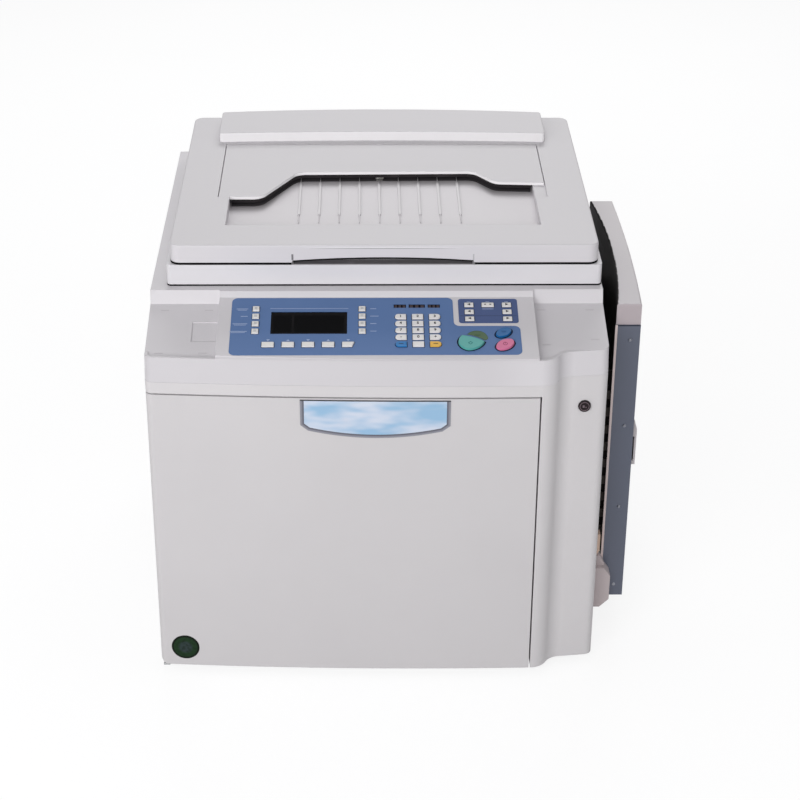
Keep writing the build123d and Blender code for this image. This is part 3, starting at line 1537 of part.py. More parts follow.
def side_guide(side):
    """Paper side guide on the tray: upright fence with a foot on the paper face."""
    face_x = tray_inner + tray_bow_in - rest_gap
    y = behind(tray_middle) + side * guide_spread / 2
    far = y + side * guide_wall
    fence_profile = [
        (face_x - guide_height, guide_low + 30), (face_x - guide_height + 10, guide_low), (face_x, guide_low),
        (face_x, guide_high), (face_x - guide_height + 10, guide_high), (face_x - guide_height, guide_high - 30),
    ]
    fence = through_y(fence_profile, min(y, far), max(y, far))
    foot = y + side * guide_foot
    return fence + block(face_x - guide_wall, face_x, min(y, foot), max(y, foot), guide_low, guide_high)


def delivery_tray():
    """Delivery tray folded into the left side: flat outside, rimmed inside, on two end pins."""
    x0, x1 = left + 0.8, left + 0.8 + exit_thickness
    y0, y1 = behind(exit_front), behind(exit_front + exit_width)
    tray = block(x0, x1, y0, y1, exit_low, exit_low + exit_height)
    tray -= block(x0 + exit_floor, x1 + 1, y0 + wall, y1 - wall, exit_low + 12, exit_low + exit_height - wall)
    grip_y = (y0 + y1) / 2
    high = exit_low + exit_height
    tray -= block(x0 - 1, x0 + 1.5, grip_y - 45, grip_y + 45, high - 26, high - 8)
    pin_x, pin_z = left + exit_axis_x, exit_low + exit_axis_z
    return tray + rod_y(pin_x, pin_z, y0 - door_gap - wall, y1 + door_gap + wall, exit_pin)


# Every node of the machine

nodes = {
    "base_pan": base_pan, "rubber_feet": rubber_feet, "front_frame": front_frame, "rear_frame": rear_frame,
    "frame_stays": frame_stays, "left_cover": left_cover, "right_cover": right_cover, "rear_cover": rear_cover,
    "front_bezel": front_bezel, "top_cover": top_cover, "panel_overlay": panel_overlay,
    "function_overlay": function_overlay, "display_windows": display_windows,
    "display_keys": lambda: key_bank(display_key_faces(), key_stand),
    "number_keys": lambda: key_bank(number_key_faces(), key_stand),
    "function_keys": lambda: key_bank(function_key_faces(), key_stand),
    "start_key": lambda: key_solid(start_key_face(), round_key_stand),
    "master_key": lambda: key_solid(master_key_face(), round_key_stand),
    "test_key": lambda: key_solid(test_key_face(), round_key_stand),
    "stop_key": lambda: key_solid(stop_key_face(), round_key_stand),
    "tray_button": tray_button, "front_door": front_door, "nameplate": nameplate_form,
    "door_hinges": door_hinges, "scanner_housing": scanner_housing, "platen_glass": platen_glass,
    "scanner_rails": scanner_rails, "scan_carriage": scan_carriage, "lid_shell": lid_shell,
    "document_table": document_table, "lid_rear_cover": lid_rear_cover, "pressing_plate": pressing_plate,
    "lid_hinges": lid_hinges, "drum_frame": drum_frame, "drum_cylinder": drum_cylinder, "drum_gear": drum_gear,
    "motor_pinion": motor_pinion, "main_motor": main_motor, "ink_cartridge": ink_cartridge,
    "pressure_roller": pressure_roller, "feed_roller": feed_roller, "feed_guide": feed_guide,
    "master_unit": master_unit, "master_roll": master_roll, "eject_box": eject_box,
    "delivery_unit": delivery_unit, "fan_housing": fan_housing, "fan_rotor": fan_rotor,
    "power_supply": power_supply, "power_inlet": power_inlet, "power_switch": power_switch,
    "lift_carriage": lift_carriage, "lift_rods": lift_rods, "feed_tray": feed_tray,
    "tray_side_plates": tray_side_plates, "tray_handle": tray_handle,
    "side_guide_front": lambda: side_guide(-1), "side_guide_rear": lambda: side_guide(1),
    "delivery_tray": delivery_tray,
}

os.makedirs("parts", exist_ok=True)
for name, make in nodes.items():
    export_step(make(), f"parts/{name}.step")
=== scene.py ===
# %% [markdown]
# # A desktop digital duplicator
# The machine is a pale moulded office cabinet. Its engineering model is already made, in
# metres, with every piece on the body that it moves with. This lesson loads that model, gives
# each surface its finish, and adds the small things that a moulder or a printer adds last:
# screw heads, key marks, printed lines, seals. Nothing that the model gives is moved.

# %% Load the engineering model
import math

import bmesh
import bpy
from mathutils import Matrix, Vector
from mathutils.bvhtree import BVHTree


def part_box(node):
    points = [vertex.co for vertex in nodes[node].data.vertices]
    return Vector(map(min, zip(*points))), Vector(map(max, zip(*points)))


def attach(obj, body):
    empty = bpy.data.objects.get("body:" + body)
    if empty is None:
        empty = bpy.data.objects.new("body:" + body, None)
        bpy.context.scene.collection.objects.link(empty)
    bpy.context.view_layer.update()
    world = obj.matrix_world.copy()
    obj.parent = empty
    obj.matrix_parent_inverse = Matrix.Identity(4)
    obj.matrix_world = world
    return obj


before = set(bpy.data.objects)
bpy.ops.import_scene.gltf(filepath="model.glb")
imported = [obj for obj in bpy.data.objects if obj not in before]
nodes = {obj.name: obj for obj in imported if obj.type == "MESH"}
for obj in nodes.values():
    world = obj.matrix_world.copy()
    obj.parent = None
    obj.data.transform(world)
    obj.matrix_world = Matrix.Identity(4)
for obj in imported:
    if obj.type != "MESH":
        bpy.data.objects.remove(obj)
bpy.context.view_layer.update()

mm = 0.001

# %% [markdown]
# ## View, camera and room
# The Standard view transform shows a colour as it is written, which is what a product shot of
# white plastic needs. The camera stands a little left of the machine's middle, above it, and
# looks down by 28 degrees through a long lens, so the sides hardly converge.

# %% Camera
scene = bpy.context.scene
scene.view_settings.view_transform = "Standard"

yaw, pitch, roll = 0.0212, 0.49436, 0.00733
stand = Vector((-0.04805, -2.55958, 1.6410))
ahead = Vector((math.sin(yaw) * math.cos(pitch), math.cos(yaw) * math.cos(pitch), -math.sin(pitch)))
sideways = Vector((math.cos(yaw), -math.sin(yaw), 0))
upward = sideways.cross(ahead)
turn_right = math.cos(roll) * sideways + math.sin(roll) * upward
turn_up = math.cos(roll) * upward - math.sin(roll) * sideways
turn = Matrix((turn_right, turn_up, -ahead)).transposed()

lens = bpy.data.cameras.new("camera")
lens.lens = 89.0
lens.sensor_width = 36.0
lens.clip_end = 50.0
camera = bpy.data.objects.new("camera", lens)
camera.matrix_world = Matrix.Translation(stand) @ turn.to_4x4()
scene.collection.objects.link(camera)
scene.camera = camera
print("camera", [round(v, 3) for v in stand], "lens", lens.lens)

# %% [markdown]
# ## Shader maths as Python
# A material is a formula over the surface. The two small classes below let that formula be
# written as one: `Value` wraps an output socket, and every operator on it adds a Math node.
# `Finish` owns a material and has one method that adds any other node.

# %% Operators on sockets
class Value:
    """One output of a node. Sums, products and comparisons of it add Math nodes."""

    def __init__(self, finish, socket):
        self.finish = finish
        self.socket = socket

    def out(self, name):
        return Value(self.finish, self.socket.node.outputs[name])

    def maths(self, operation, *values):
        return self.finish.node("ShaderNodeMath", {"operation": operation}, dict(enumerate(values)))

    def __add__(self, other):
        return self.maths("ADD", self, other)

    def __sub__(self, other):
        return self.maths("SUBTRACT", self, other)

    def __rsub__(self, other):
        return self.maths("SUBTRACT", other, self)

    def __mul__(self, other):
        return self.maths("MULTIPLY", self, other)

    def __truediv__(self, other):
        return self.maths("DIVIDE", self, other)

    def __lt__(self, other):
        return self.maths("LESS_THAN", self, other)

    def __gt__(self, other):
        return self.maths("GREATER_THAN", self, other)

    def __abs__(self):
        return self.maths("ABSOLUTE", self)

    __radd__ = __add__
    __rmul__ = __mul__

    def fraction(self):
        return self.maths("FRACT", self)

    def root(self):
        return self.maths("SQRT", self)

    def ramp(self, low, high):
        """0 below low, 1 above high, smooth between."""
        return self.finish.node(
            "ShaderNodeMapRange", {"interpolation_type": "SMOOTHSTEP"},
            {"Value": self, "From Min": low, "From Max": high})


class Finish:
    """A material, or another node tree, built as nodes from numbers and Values."""

    def __init__(self, name, tree=None):
        if tree is None:
            self.material = bpy.data.materials.new(name)
            self.material.use_nodes = True
            tree = self.material.node_tree
        self.tree = tree
        self.tree.nodes.clear()

    def node(self, kind, settings=None, sockets=None, output=0):
        node = self.tree.nodes.new(kind)
        for key, setting in (settings or {}).items():
            setattr(node, key, setting)
        for key, value in (sockets or {}).items():
            if isinstance(value, Value):
                self.tree.links.new(value.socket, node.inputs[key])
            else:
                node.inputs[key].default_value = value
        return Value(self, node.outputs[output])

    def place(self, centre=(0, 0, 0), turn=(0, 0, 0), scale=(1, 1, 1)):
        """Object coordinates as seen from centre, turned and then scaled."""
        here = self.node("ShaderNodeTexCoord").out("Object")
        away = self.node("ShaderNodeVectorMath", {"operation": "SUBTRACT"}, {0: here, 1: centre})
        return self.node("ShaderNodeMapping", None, {"Vector": away, "Rotation": turn, "Scale": scale})

    def facing(self):
        """Which way the surface faces along X, Y and Z, in the object's own directions."""
        return self.axes(self.node("ShaderNodeTexCoord").out("Normal"))

    def axes(self, place):
        split = self.node("ShaderNodeSeparateXYZ", None, {0: place})
        return split.out("X"), split.out("Y"), split.out("Z")

    def noise(self, place, scale, detail=2.0):
        return self.node("ShaderNodeTexNoise", None, {"Vector": place, "Scale": scale, "Detail": detail})

    def blend(self, share, first, second):
        """A colour between two colours or colour Values."""
        return self.node("ShaderNodeMix", {"data_type": "RGBA"}, {0: share, 6: first, 7: second}, 2)

    def rounded(self, radius):
        """The normal as if every edge had this radius, and how near the surface is to an edge."""
        soft = self.node("ShaderNodeBevel", {"samples": 6}, {"Radius": radius})
        flat = self.node("ShaderNodeNewGeometry").out("Normal")
        match = self.node("ShaderNodeVectorMath", {"operation": "DOT_PRODUCT"}, {0: soft, 1: flat})
        return soft, (1 - match.out("Value")).ramp(0.01, 0.2)

    def seen(self):
        """1 where a ray shows the surroundings as they look, 0 where it lights the machine."""
        path = self.node("ShaderNodeLightPath")
        return path.out("Is Camera Ray") + path.out("Is Glossy Ray") + path.out("Is Transmission Ray")

    def surface(self, colour, roughness, height=None, depth=0.0, normal=None, **fixed):
        """Principled surface. fixed are constants of the shader's own sockets."""
        sockets = {"Base Color": colour, "Roughness": roughness}
        for key, value in fixed.items():
            sockets[key.replace("_", " ")] = value
        if height is not None:
            bumps = {"Height": height, "Distance": depth}
            if normal is not None:
                bumps["Normal"] = normal
            sockets["Normal"] = self.node("ShaderNodeBump", None, bumps)
        elif normal is not None:
            sockets["Normal"] = normal
        return self.end(self.node("ShaderNodeBsdfPrincipled", None, sockets))

    def end(self, shader):
        out = self.tree.nodes.new("ShaderNodeOutputMaterial")
        self.tree.links.new(shader.socket, out.inputs["Surface"])
        return self.material


def tint(red, green, blue, alpha=1.0):
    """A colour as a paint chart gives it, 0 to 255, in the linear numbers that a shader needs."""
    chart = (red / 255, green / 255, blue / 255)
    return tuple(c / 12.92 if c <= 0.04045 else ((c + 0.055) / 1.055) ** 2.4 for c in chart) + (alpha,)


def shade(colour, factor):
    """The same colour, lighter or darker."""
    return tuple(min(1.0, c * factor) for c in colour[:3]) + (1.0,)


print("shader helpers ready")

# %% [markdown]
# ## Floor and light
# The floor is plain and pale. Camera rays see most of it as plain white, through Light Path, so
# the picture's ground stays white while the machine's own shadow still shows on it. Two large
# soft boxes light the machine from the front and the back, and two weak ones from the sides.

# %% Floor
def white_ground():
    finish = Finish("ground")
    grain = finish.noise(finish.place(), 3.0)
    matte = finish.node("ShaderNodeBsdfDiffuse", None, {
        "Color": finish.blend(grain, tint(188, 188, 190), tint(194, 194, 195))})
    glow = finish.node("ShaderNodeEmission", None, {"Color": (1, 1, 1, 1), "Strength": 1.3})
    return finish.end(finish.node("ShaderNodeMixShader", None, {0: finish.seen() * 0.65, 1: matte, 2: glow}))


ground_mesh = bpy.data.meshes.new("ground")
reach = 9.0
ground_mesh.from_pydata([(-reach, -reach, 0), (reach, -reach, 0), (reach, reach, 0), (-reach, reach, 0)],
                        [], [(0, 1, 2, 3)])
ground_mesh.materials.append(white_ground())
ground = bpy.data.objects.new("ground", ground_mesh)
scene.collection.objects.link(ground)
print("floor", 2 * reach, "m wide")

# %% Lamps and world
def soft_box(name, at, width, height, watts):
    """An area lamp that faces the middle of the machine."""
    lamp = bpy.data.lights.new(name, "AREA")
    lamp.shape = "RECTANGLE"
    lamp.size = width
    lamp.size_y = height
    lamp.energy = watts
    holder = bpy.data.objects.new(name, lamp)
    way = (Vector((0, 0, 0.3)) - Vector(at)).normalized()
    holder.rotation_euler = way.to_track_quat("-Z", "Y").to_euler()
    holder.location = at
    scene.collection.objects.link(holder)


soft_box("front box", (-0.8, -2.7, 1.4), 2.2, 1.6, 58)
soft_box("back box", (0.15, 2.6, 2.3), 2.2, 1.2, 38)
soft_box("left box", (-3.0, -0.4, 1.4), 1.6, 1.8, 12)
soft_box("right box", (3.0, -1.0, 1.6), 1.6, 1.8, 10)

world = bpy.data.worlds.new("room")
world.use_nodes = True
room = Finish("room", world.node_tree)
around = room.node("ShaderNodeBackground", None, {"Color": (1, 1, 1, 1), "Strength": 0.30})
white = room.node("ShaderNodeBackground", None, {"Color": (1, 1, 1, 1), "Strength": 1.0})
lit = room.node("ShaderNodeMixShader", None, {0: room.seen(), 1: around, 2: white})
world_end = world.node_tree.nodes.new("ShaderNodeOutputWorld")
world.node_tree.links.new(lit.socket, world_end.inputs["Surface"])
scene.world = world

# %% [markdown]
# ## Moulded plastic
# The covers are injection-moulded ABS with a spark-eroded grain: matt, very slightly uneven in
# tone, a touch glossier where edges are handled and lighter near every edge, partly wear and partly
# a painted highlight. One function makes all of them, and each cover then gets its own tone; the
# door's darker tone and the scanner's lighter one are painted shade and painted light. The grain
# is a fine noise that feeds a bump, and a bevel node rounds the light on every edge by the radius
# that the mould gives it.

# %% Moulded plastic
def moulded(name, colour, roughness=0.5, grain=0.5, depth=0.03, edge=0.9, wear=0.35, patches=None,
            **fixed):
    """patches, where given, takes the finish and returns (share, colour) pairs to lay over it."""
    finish = Finish(name)
    place = finish.place()
    cloud = finish.noise(place, 7.0, 3.0)
    pores = finish.noise(place, 1 / (grain * mm), 2.0)
    soft, near_edge = finish.rounded(edge * mm)
    tone = finish.blend(cloud, shade(colour, 0.965), shade(colour, 1.03))
    # Lighter near edges: partly wear, partly a painted highlight.
    tone = finish.blend(near_edge * wear, tone, shade(colour, 1.12))
    for share, patch in (patches(finish) if patches else ()):
        tone = finish.blend(share, tone, patch)
    gloss = roughness + (pores - 0.5) * 0.12 + (cloud - 0.5) * 0.06 - near_edge * 0.08
    return finish.surface(tone, gloss, pores, depth * mm, soft, **fixed)


def tray_patches(finish):
    """Painted shade: the tray's inner faces, the paper recess and the grip's pocket are dark, and the cap's
    slope and ends darker.
    """
    low, high = map(Vector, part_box("feed_tray"))
    grip_low, grip_high = map(Vector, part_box("tray_handle"))
    x, y, z = finish.axes(finish.place())
    facing_x, facing_y, facing_z = finish.facing()
    plate_top, wall, recess, grip_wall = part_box("tray_side_plates")[1][2], 2.8 * mm, 12.6 * mm, 15 * mm
    between = (y > low.y + wall) * (y < high.y - wall) * (z < plate_top) * (x < low.x + recess)
    pocket = (x > low.x + grip_wall) * (x < grip_low.x - 0.1 * mm) * (z > grip_low.z) \
        * (z < grip_high.z) * (y > grip_low.y - 6 * mm) * (y < grip_high.y + 6 * mm)
    # Painted shade: the cap's end faces and its slope are darker for how the light falls on them.
    ends = (abs(facing_y) > 0.7) * (z > plate_top)
    slope = (facing_z > 0.2) * (z > plate_top) * (0.2 - y).ramp(0.15, 0.4)
    # Painted shade: near-black for the inner faces, the paper recess and the grip's pocket, which lie in
    # shadow.
    dark = tint(24, 21, 21)
    return ((slope, tint(190, 185, 189)), (ends, tint(178, 168, 172)), (between, dark),
            (pocket, tint(24, 22, 24)), (facing_x < -0.4, dark))


def top_patches(finish):
    """Painted shade: the front-facing band below the panel is a little darker than the shelves."""
    x, y, z = finish.axes(finish.place())
    # Painted shade on the faces that turn to the front.
    band = (finish.facing()[1] < -0.6) * (z < 489 * mm) * (1 - x.ramp(100 * mm, 180 * mm))
    return ((band, tint(197, 194, 198)),)


def pocket_shadow(finish):
    """How deep a point of the pocket's floor lies in the soft shadow of the table's wavy edge."""
    x, y, z = finish.axes(finish.place())
    front, step_back, step_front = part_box("document_table")[0][1], 93 * mm, 40 * mm
    edge = front + step_back * x.ramp(-189 * mm, -141 * mm) - step_front * x.ramp(111 * mm, 139 * mm)
    return 1 - (edge - y).ramp(-6 * mm, 26 * mm)


def lid_patches(finish):
    """The pocket's floor is paler than the top; the paler front faces and the rear cover's front edge are
    painted light, and the floor carries a painted shadow of the table's edge.
    """
    z = finish.axes(finish.place())[2]
    facing_x, facing_y, facing_z = finish.facing()
    # Painted light on the front faces and a painted highlight on the rear cover's front edge.
    front = facing_y < -0.6
    floor = (facing_z > 0.7) * (z < 575 * mm)
    rear_edge_highlight = front * (z > 584.2 * mm)
    shadow = floor * pocket_shadow(finish) * 0.7
    return ((front, tint(211, 208, 212)), (floor, tint(212, 208, 212)), (rear_edge_highlight, tint(236, 234, 236)),
            (shadow, tint(104, 100, 102)))


def ridge_patches(finish):
    """The ridges run back into the same shadow."""
    return ((pocket_shadow(finish) * 0.8, tint(110, 106, 108)),)


def table_patches(finish):
    """Painted highlight: the table's cut edge is paler than its face."""
    return ((finish.facing()[1] < -0.4, tint(240, 238, 240)),)


def carriage_patches(finish):
    """The stop block at the top of each hub is natural beige."""
    z = finish.axes(finish.place())[2]
    return ((z > 127 * mm, tint(226, 196, 176)),)


finishes = {}


def mix(make, name, *given, **options):
    """Makes a finish and keeps it under its name."""
    finishes[name] = make(name, *given, **options)


small = {"roughness": 0.35, "grain": 0.4, "depth": 0.01, "edge": 0.7}
mix(moulded, "cabinet_plastic", tint(209, 206, 208))
mix(moulded, "top_plastic", tint(207, 204, 208), patches=top_patches)
# The door's darker tone and the scanner's lighter one are painted shade and painted light for the light
# falling off lower down.
mix(moulded, "door_plastic", tint(204, 201, 203), grain=0.6)
mix(moulded, "scanner_plastic", tint(216, 214, 218))
mix(moulded, "lid_plastic", tint(203, 200, 204), patches=lid_patches)
mix(moulded, "table_plastic", tint(203, 200, 204), patches=table_patches)
mix(moulded, "tray_plastic", tint(209, 204, 207), patches=tray_patches)
mix(moulded, "exit_plastic", tint(206, 203, 205))
mix(moulded, "guide_plastic", tint(24, 21, 21), 0.6, edge=0.6, Specular_IOR_Level=0.1)
mix(moulded, "carriage_plastic", tint(200, 188, 189), edge=1.2, wear=0.3, patches=carriage_patches)
mix(moulded, "eject_plastic", tint(120, 122, 126), 0.55)
mix(moulded, "delivery_plastic", tint(52, 53, 56))
mix(moulded, "fan_plastic", tint(30, 30, 32), 0.4, edge=0.5)
mix(moulded, "drum_disc", tint(70, 76, 84), 0.45)
mix(moulded, "gear_plastic", tint(226, 223, 212), 0.38, grain=0.9, depth=0.01, edge=0.3)
mix(moulded, "dark_button", tint(34, 26, 28), 0.4, edge=0.6, Specular_IOR_Level=0.15)
mix(moulded, "pale_keys", tint(226, 224, 222), 0.4, grain=0.4, depth=0.01, edge=0.5)
mix(moulded, "start_key", tint(82, 164, 158), **small)
mix(moulded, "master_key", tint(58, 88, 54), **small)
mix(moulded, "test_key", tint(8, 92, 152), **small)
mix(moulded, "stop_key", tint(208, 112, 150), **small)
mix(moulded, "scan_black", tint(26, 26, 28), edge=0.5)
mix(moulded, "ink_bottle", tint(206, 208, 210), 0.3, grain=1.2, depth=0.01, edge=1.0)
print(len(finishes), "plastics")

# %% [markdown]
# ## Sheet steel, turned steel, rubber
# Inside stands folded zinc-coated sheet, whose coating shows as faint crystals: a Voronoi
# pattern that changes tone and roughness from cell to cell. Shafts are turned, so they carry
# fine rings round their axis, made by a noise that is squeezed along that axis. Rubber is nearly
# black, dusty, and ground across the rollers' width.

# %% Metals and rubber
def zinc_sheet(name, colour, cell):
    finish = Finish(name)
    place = finish.place()
    crystal = finish.node("ShaderNodeTexVoronoi", None, {"Vector": place, "Scale": 1 / (cell * mm)})
    facet = finish.axes(crystal.out("Color"))[0]
    fine = finish.noise(place, 900.0)
    soft, near_edge = finish.rounded(0.4 * mm)
    tone = finish.blend(facet, shade(colour, 0.94), shade(colour, 1.05))
    # Lighter near edges: partly wear, partly a painted highlight.
    tone = finish.blend(near_edge * 0.5, tone, shade(colour, 1.3))
    return finish.surface(tone, 0.36 + facet * 0.08 + fine * 0.06, fine, 0.01 * mm, soft, Metallic=0.85)


def painted_steel(name, colour):
    finish = Finish(name)
    place = finish.place()
    peel = finish.noise(place, 420.0, 3.0)
    cloud = finish.noise(place, 9.0)
    soft, near_edge = finish.rounded(0.5 * mm)
    tone = finish.blend(cloud, shade(colour, 0.93), shade(colour, 1.07))
    # Lighter near edges: partly wear, partly a painted highlight.
    tone = finish.blend(near_edge * 0.6, tone, shade(colour, 1.7))
    return finish.surface(tone, 0.36 + (peel - 0.5) * 0.1, peel, 0.03 * mm, soft, Metallic=0.2)


def turned_steel(name, colour):
    finish = Finish(name)
    rings = finish.noise(finish.place(scale=(0.05, 1, 0.05)), 2600.0)
    tone = finish.blend(rings, shade(colour, 0.85), shade(colour, 1.1))
    soft = finish.rounded(0.3 * mm)[0]
    return finish.surface(tone, 0.22 + rings * 0.16, rings, 0.004 * mm, soft, Metallic=1.0)


def rubber(name, colour, ground_rings=False, shine=0.5):
    finish = Finish(name)
    place = finish.place(scale=(0.2, 1, 0.2)) if ground_rings else finish.place()
    pores = finish.noise(place, 1500.0, 3.0)
    dust = finish.noise(finish.place(), 28.0, 3.0)
    tone = finish.blend(dust.ramp(0.45, 0.8), colour, shade(colour, 1.9))
    return finish.surface(tone, 0.72 + pores * 0.15, pores, 0.05 * mm, Specular_IOR_Level=shine)


mix(zinc_sheet, "frame_steel", tint(176, 178, 180), 6.0)
mix(zinc_sheet, "pan_steel", tint(168, 170, 172), 12.0)
mix(zinc_sheet, "supply_case", tint(182, 183, 184), 7.0)
mix(painted_steel, "tray_steel", tint(92, 97, 112))
mix(turned_steel, "bright_steel", tint(200, 200, 202))
mix(turned_steel, "pinion_steel", tint(170, 168, 164))
mix(turned_steel, "motor_case", tint(150, 152, 156))
mix(rubber, "rubber", tint(38, 38, 40))
mix(rubber, "roller_rubber", tint(44, 44, 46), True)
mix(rubber, "feed_rubber", tint(58, 56, 54), True)
print(len(finishes), "finishes so far")

# %% [markdown]
# ## Films, windows, paper and screen
# The panel is a printed film with a soft texture. The display and indicator windows are smoked
# glass with the faint grid of their dots behind it. The nameplate is a bare pale-blue print with
# soft streaks. The drum wears a woven screen, and the master roll shows its wound layers as rings
# on both ends.

# %% Films and windows
panel_slope = math.radians(13.8)
panel_corner = Vector((-29.0, -309.85, 490.0)) * mm
drum_x, drum_z, drum_radius = -49.0, 295.0, 90.0
roll_x, roll_z = 159.0, 394.0


class Plan:
    """A flat sheet to measure and draw on, in millimetres across it, up it and off it."""

    def __init__(self, corner, across, up):
        self.corner = Vector(corner)
        self.across = Vector(across).normalized()
        self.up = Vector(up).normalized()
        self.off = self.across.cross(self.up)

    def at(self, across, up, off=0.0):
        return self.corner + (self.across * across + self.up * up + self.off * off) * mm

    def read(self, point):
        away = (point - self.corner) / mm
        return away.dot(self.across), away.dot(self.up), away.dot(self.off)


panel = Plan(panel_corner, (1, 0, 0), (0, math.cos(panel_slope), math.sin(panel_slope)))
floor_plan = Plan((0, 0, 0), (1, 0, 0), (0, 1, 0))
front_plan = Plan((0, 0, 0), (1, 0, 0), (0, 0, 1))


def printed_film(name, colour, gloss):
    finish = Finish(name)
    place = finish.place()
    cloud = finish.noise(place, 9.0)
    leather = finish.noise(place, 1300.0, 3.0)
    soft, near_edge = finish.rounded(0.3 * mm)
    tone = finish.blend(cloud, shade(colour, 0.94), shade(colour, 1.07))
    # Lighter near edges: a painted highlight along the film's rim.
    tone = finish.blend(near_edge * 0.4, tone, shade(colour, 1.5))
    gloss = gloss + (leather - 0.5) * 0.12
    return finish.surface(tone, gloss, leather, 0.015 * mm, soft, Specular_IOR_Level=0.2)


def smoked_window(name):
    finish = Finish(name)
    place = finish.place(panel_corner, (-panel_slope, 0, 0))
    x, y, z = finish.axes(place)
    dot = 0.55 * mm
    dots = (abs((x / dot).fraction() - 0.5) < 0.4) * (abs((y / dot).fraction() - 0.5) < 0.4)
    cloud = finish.noise(place, 55.0, 3.0)
    ground = finish.blend(cloud.ramp(0.3, 0.75), tint(10, 10, 13), tint(20, 18, 21))
    tone = finish.blend(dots * 0.2, ground, tint(30, 28, 30))
    return finish.surface(tone, 0.08 + cloud * 0.08, Specular_IOR_Level=0.04)


def woven_screen(name):
    finish = Finish(name)
    place = finish.place((drum_x * mm, 0, drum_z * mm))
    x, y, z = finish.axes(place)
    mesh_width = 0.9
    turn = z.maths("ARCTAN2", z, x) * (drum_radius / mesh_width)
    thread = (turn.fraction() < 0.5) * ((y / (mesh_width * mm)).fraction() < 0.5)
    stain = finish.noise(place, 16.0, 4.0).ramp(0.42, 0.62)
    tone = finish.blend(thread * 0.6, tint(46, 46, 50), tint(92, 92, 96))
    tone = finish.blend(stain, tone, tint(20, 20, 24))
    return finish.surface(tone, 0.5 - stain * 0.28, thread, 0.05 * mm)


def wound_film(name):
    finish = Finish(name)
    x, y, z = finish.axes(finish.place((roll_x * mm, 0, roll_z * mm)))
    out = (x * x + z * z).root()
    layers = finish.noise(finish.node("ShaderNodeCombineXYZ", None, {0: out, 1: y * 0.02}), 2200.0)
    tone = finish.blend(layers, tint(196, 190, 172), tint(232, 228, 214))
    return finish.surface(tone, 0.32 + layers * 0.1, layers, 0.02 * mm)


def clear_glass(name):
    finish = Finish(name)
    smear = finish.noise(finish.place(), 14.0, 3.0).ramp(0.55, 0.9)
    return finish.surface((0.93, 0.97, 0.95, 1.0), 0.02 + smear * 0.06, Transmission_Weight=1.0, IOR=1.52)


def foam_plate(name):
    finish = Finish(name)
    place = finish.place()
    cells = finish.noise(place, 700.0, 3.0)
    cloud = finish.noise(place, 12.0)
    tone = finish.blend(cloud, tint(228, 228, 226), tint(240, 240, 238))
    # Painted shade: the plate's sides are dark grey where the gap round it lies in shadow.
    tone = finish.blend(abs(finish.facing()[2]) < 0.5, tone, tint(72, 70, 73))
    return finish.surface(tone, 0.7 + cells * 0.1, cells, 0.05 * mm)


mix(printed_film, "panel_film", tint(90, 118, 165), 0.45)
mix(printed_film, "function_film", tint(74, 90, 133), 0.45)
mix(smoked_window, "window")
mix(woven_screen, "drum_screen")
mix(wound_film, "master_film")
mix(clear_glass, "glass")
mix(foam_plate, "white_plate")
print(len(finishes), "finishes, one still to come")

# %% Nameplate print
def plate_print(name):
    """Bare pale-blue print with soft streaks, inside a grey frame that follows the plate's edge."""
    low, high = map(Vector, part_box("nameplate"))
    half = (high.x - low.x) / 2
    rise, inset, shoulder, foot = 10.0 * mm, 10.0 * mm, 37.0 * mm, 45.0 * mm
    bow = ((half - inset) ** 2 + rise ** 2) / (2 * rise)
    finish = Finish(name)
    place = finish.place(((low.x + high.x) / 2, 0, high.z))
    x, y, z = finish.axes(place)
    side = half - abs(x)
    corner = (side * (foot - shoulder) + (z + shoulder) * inset) / math.hypot(inset, foot - shoulder)
    up = z - (bow - foot - rise)
    bottom = bow - (x * x + up * up).root()
    nearest = side.maths("MINIMUM", side, corner)
    inside = side.maths("MINIMUM", nearest, bottom)
    streaks = finish.noise(finish.place(turn=(0, 0.5, 0), scale=(1, 1, 3.2)), 14.0, 2.0)
    cloud = finish.noise(place, 30.0, 3.0)
    tone = finish.blend(streaks.ramp(0.38, 0.66), tint(206, 214, 230), tint(146, 184, 216))
    tone = finish.blend(cloud.ramp(0.55, 0.8) * 0.6, tone, tint(222, 212, 222))
    frame_tone = finish.blend(inside.ramp(0.8 * mm, 4.4 * mm), tint(138, 138, 148), tint(84, 85, 98))
    tone = finish.blend(inside < 5.0 * mm, tone, frame_tone)
    # Painted shade: a dark line along the plate's top edge, where the gap above it lies in shadow.
    tone = finish.blend(z > -1.4 * mm, tone, tint(36, 35, 42))
    return finish.surface(tone, 0.3 + cloud * 0.08, Coat_Weight=0.25, Coat_Roughness=0.12)


mix(plate_print, "nameplate")
print(len(finishes), "finishes in all")

# %% Give every node its finish
for node in nodes.values():
    for place in node.material_slots:
        place.material = finishes[place.material.name.split(".")[0]]
print("dressed", len(nodes), "nodes")

# %% [markdown]
# ## Reading outlines from the model
# Marks, seals and gaps have to sit exactly on the machine, so their places are read from it. A
# plane cuts a node's mesh, the cut edges are chained into closed outlines, and an outline can
# be grown or shrunk to give the border of a seal, or the dark gap round a key.

# %% Outlines of a node
def merged(name):
    """A node's loose triangles as one joined mesh."""
    form = bmesh.new()
    form.from_mesh(nodes[name].data)
    bmesh.ops.remove_doubles(form, verts=form.verts, dist=1e-6)
    return form


def cut_across(form, point, normal, clear=False):
    """Cuts a mesh at a plane. clear removes what lies on the side that the normal points to."""
    geometry = form.verts[:] + form.edges[:] + form.faces[:]
    return bmesh.ops.bisect_plane(form, geom=geometry, plane_co=point, plane_no=normal,
                                  clear_outer=clear)["geom_cut"]


def area(loop):
    return sum(a[0] * b[1] - b[0] * a[1] for a, b in zip(loop, loop[1:] + loop[:1])) / 2


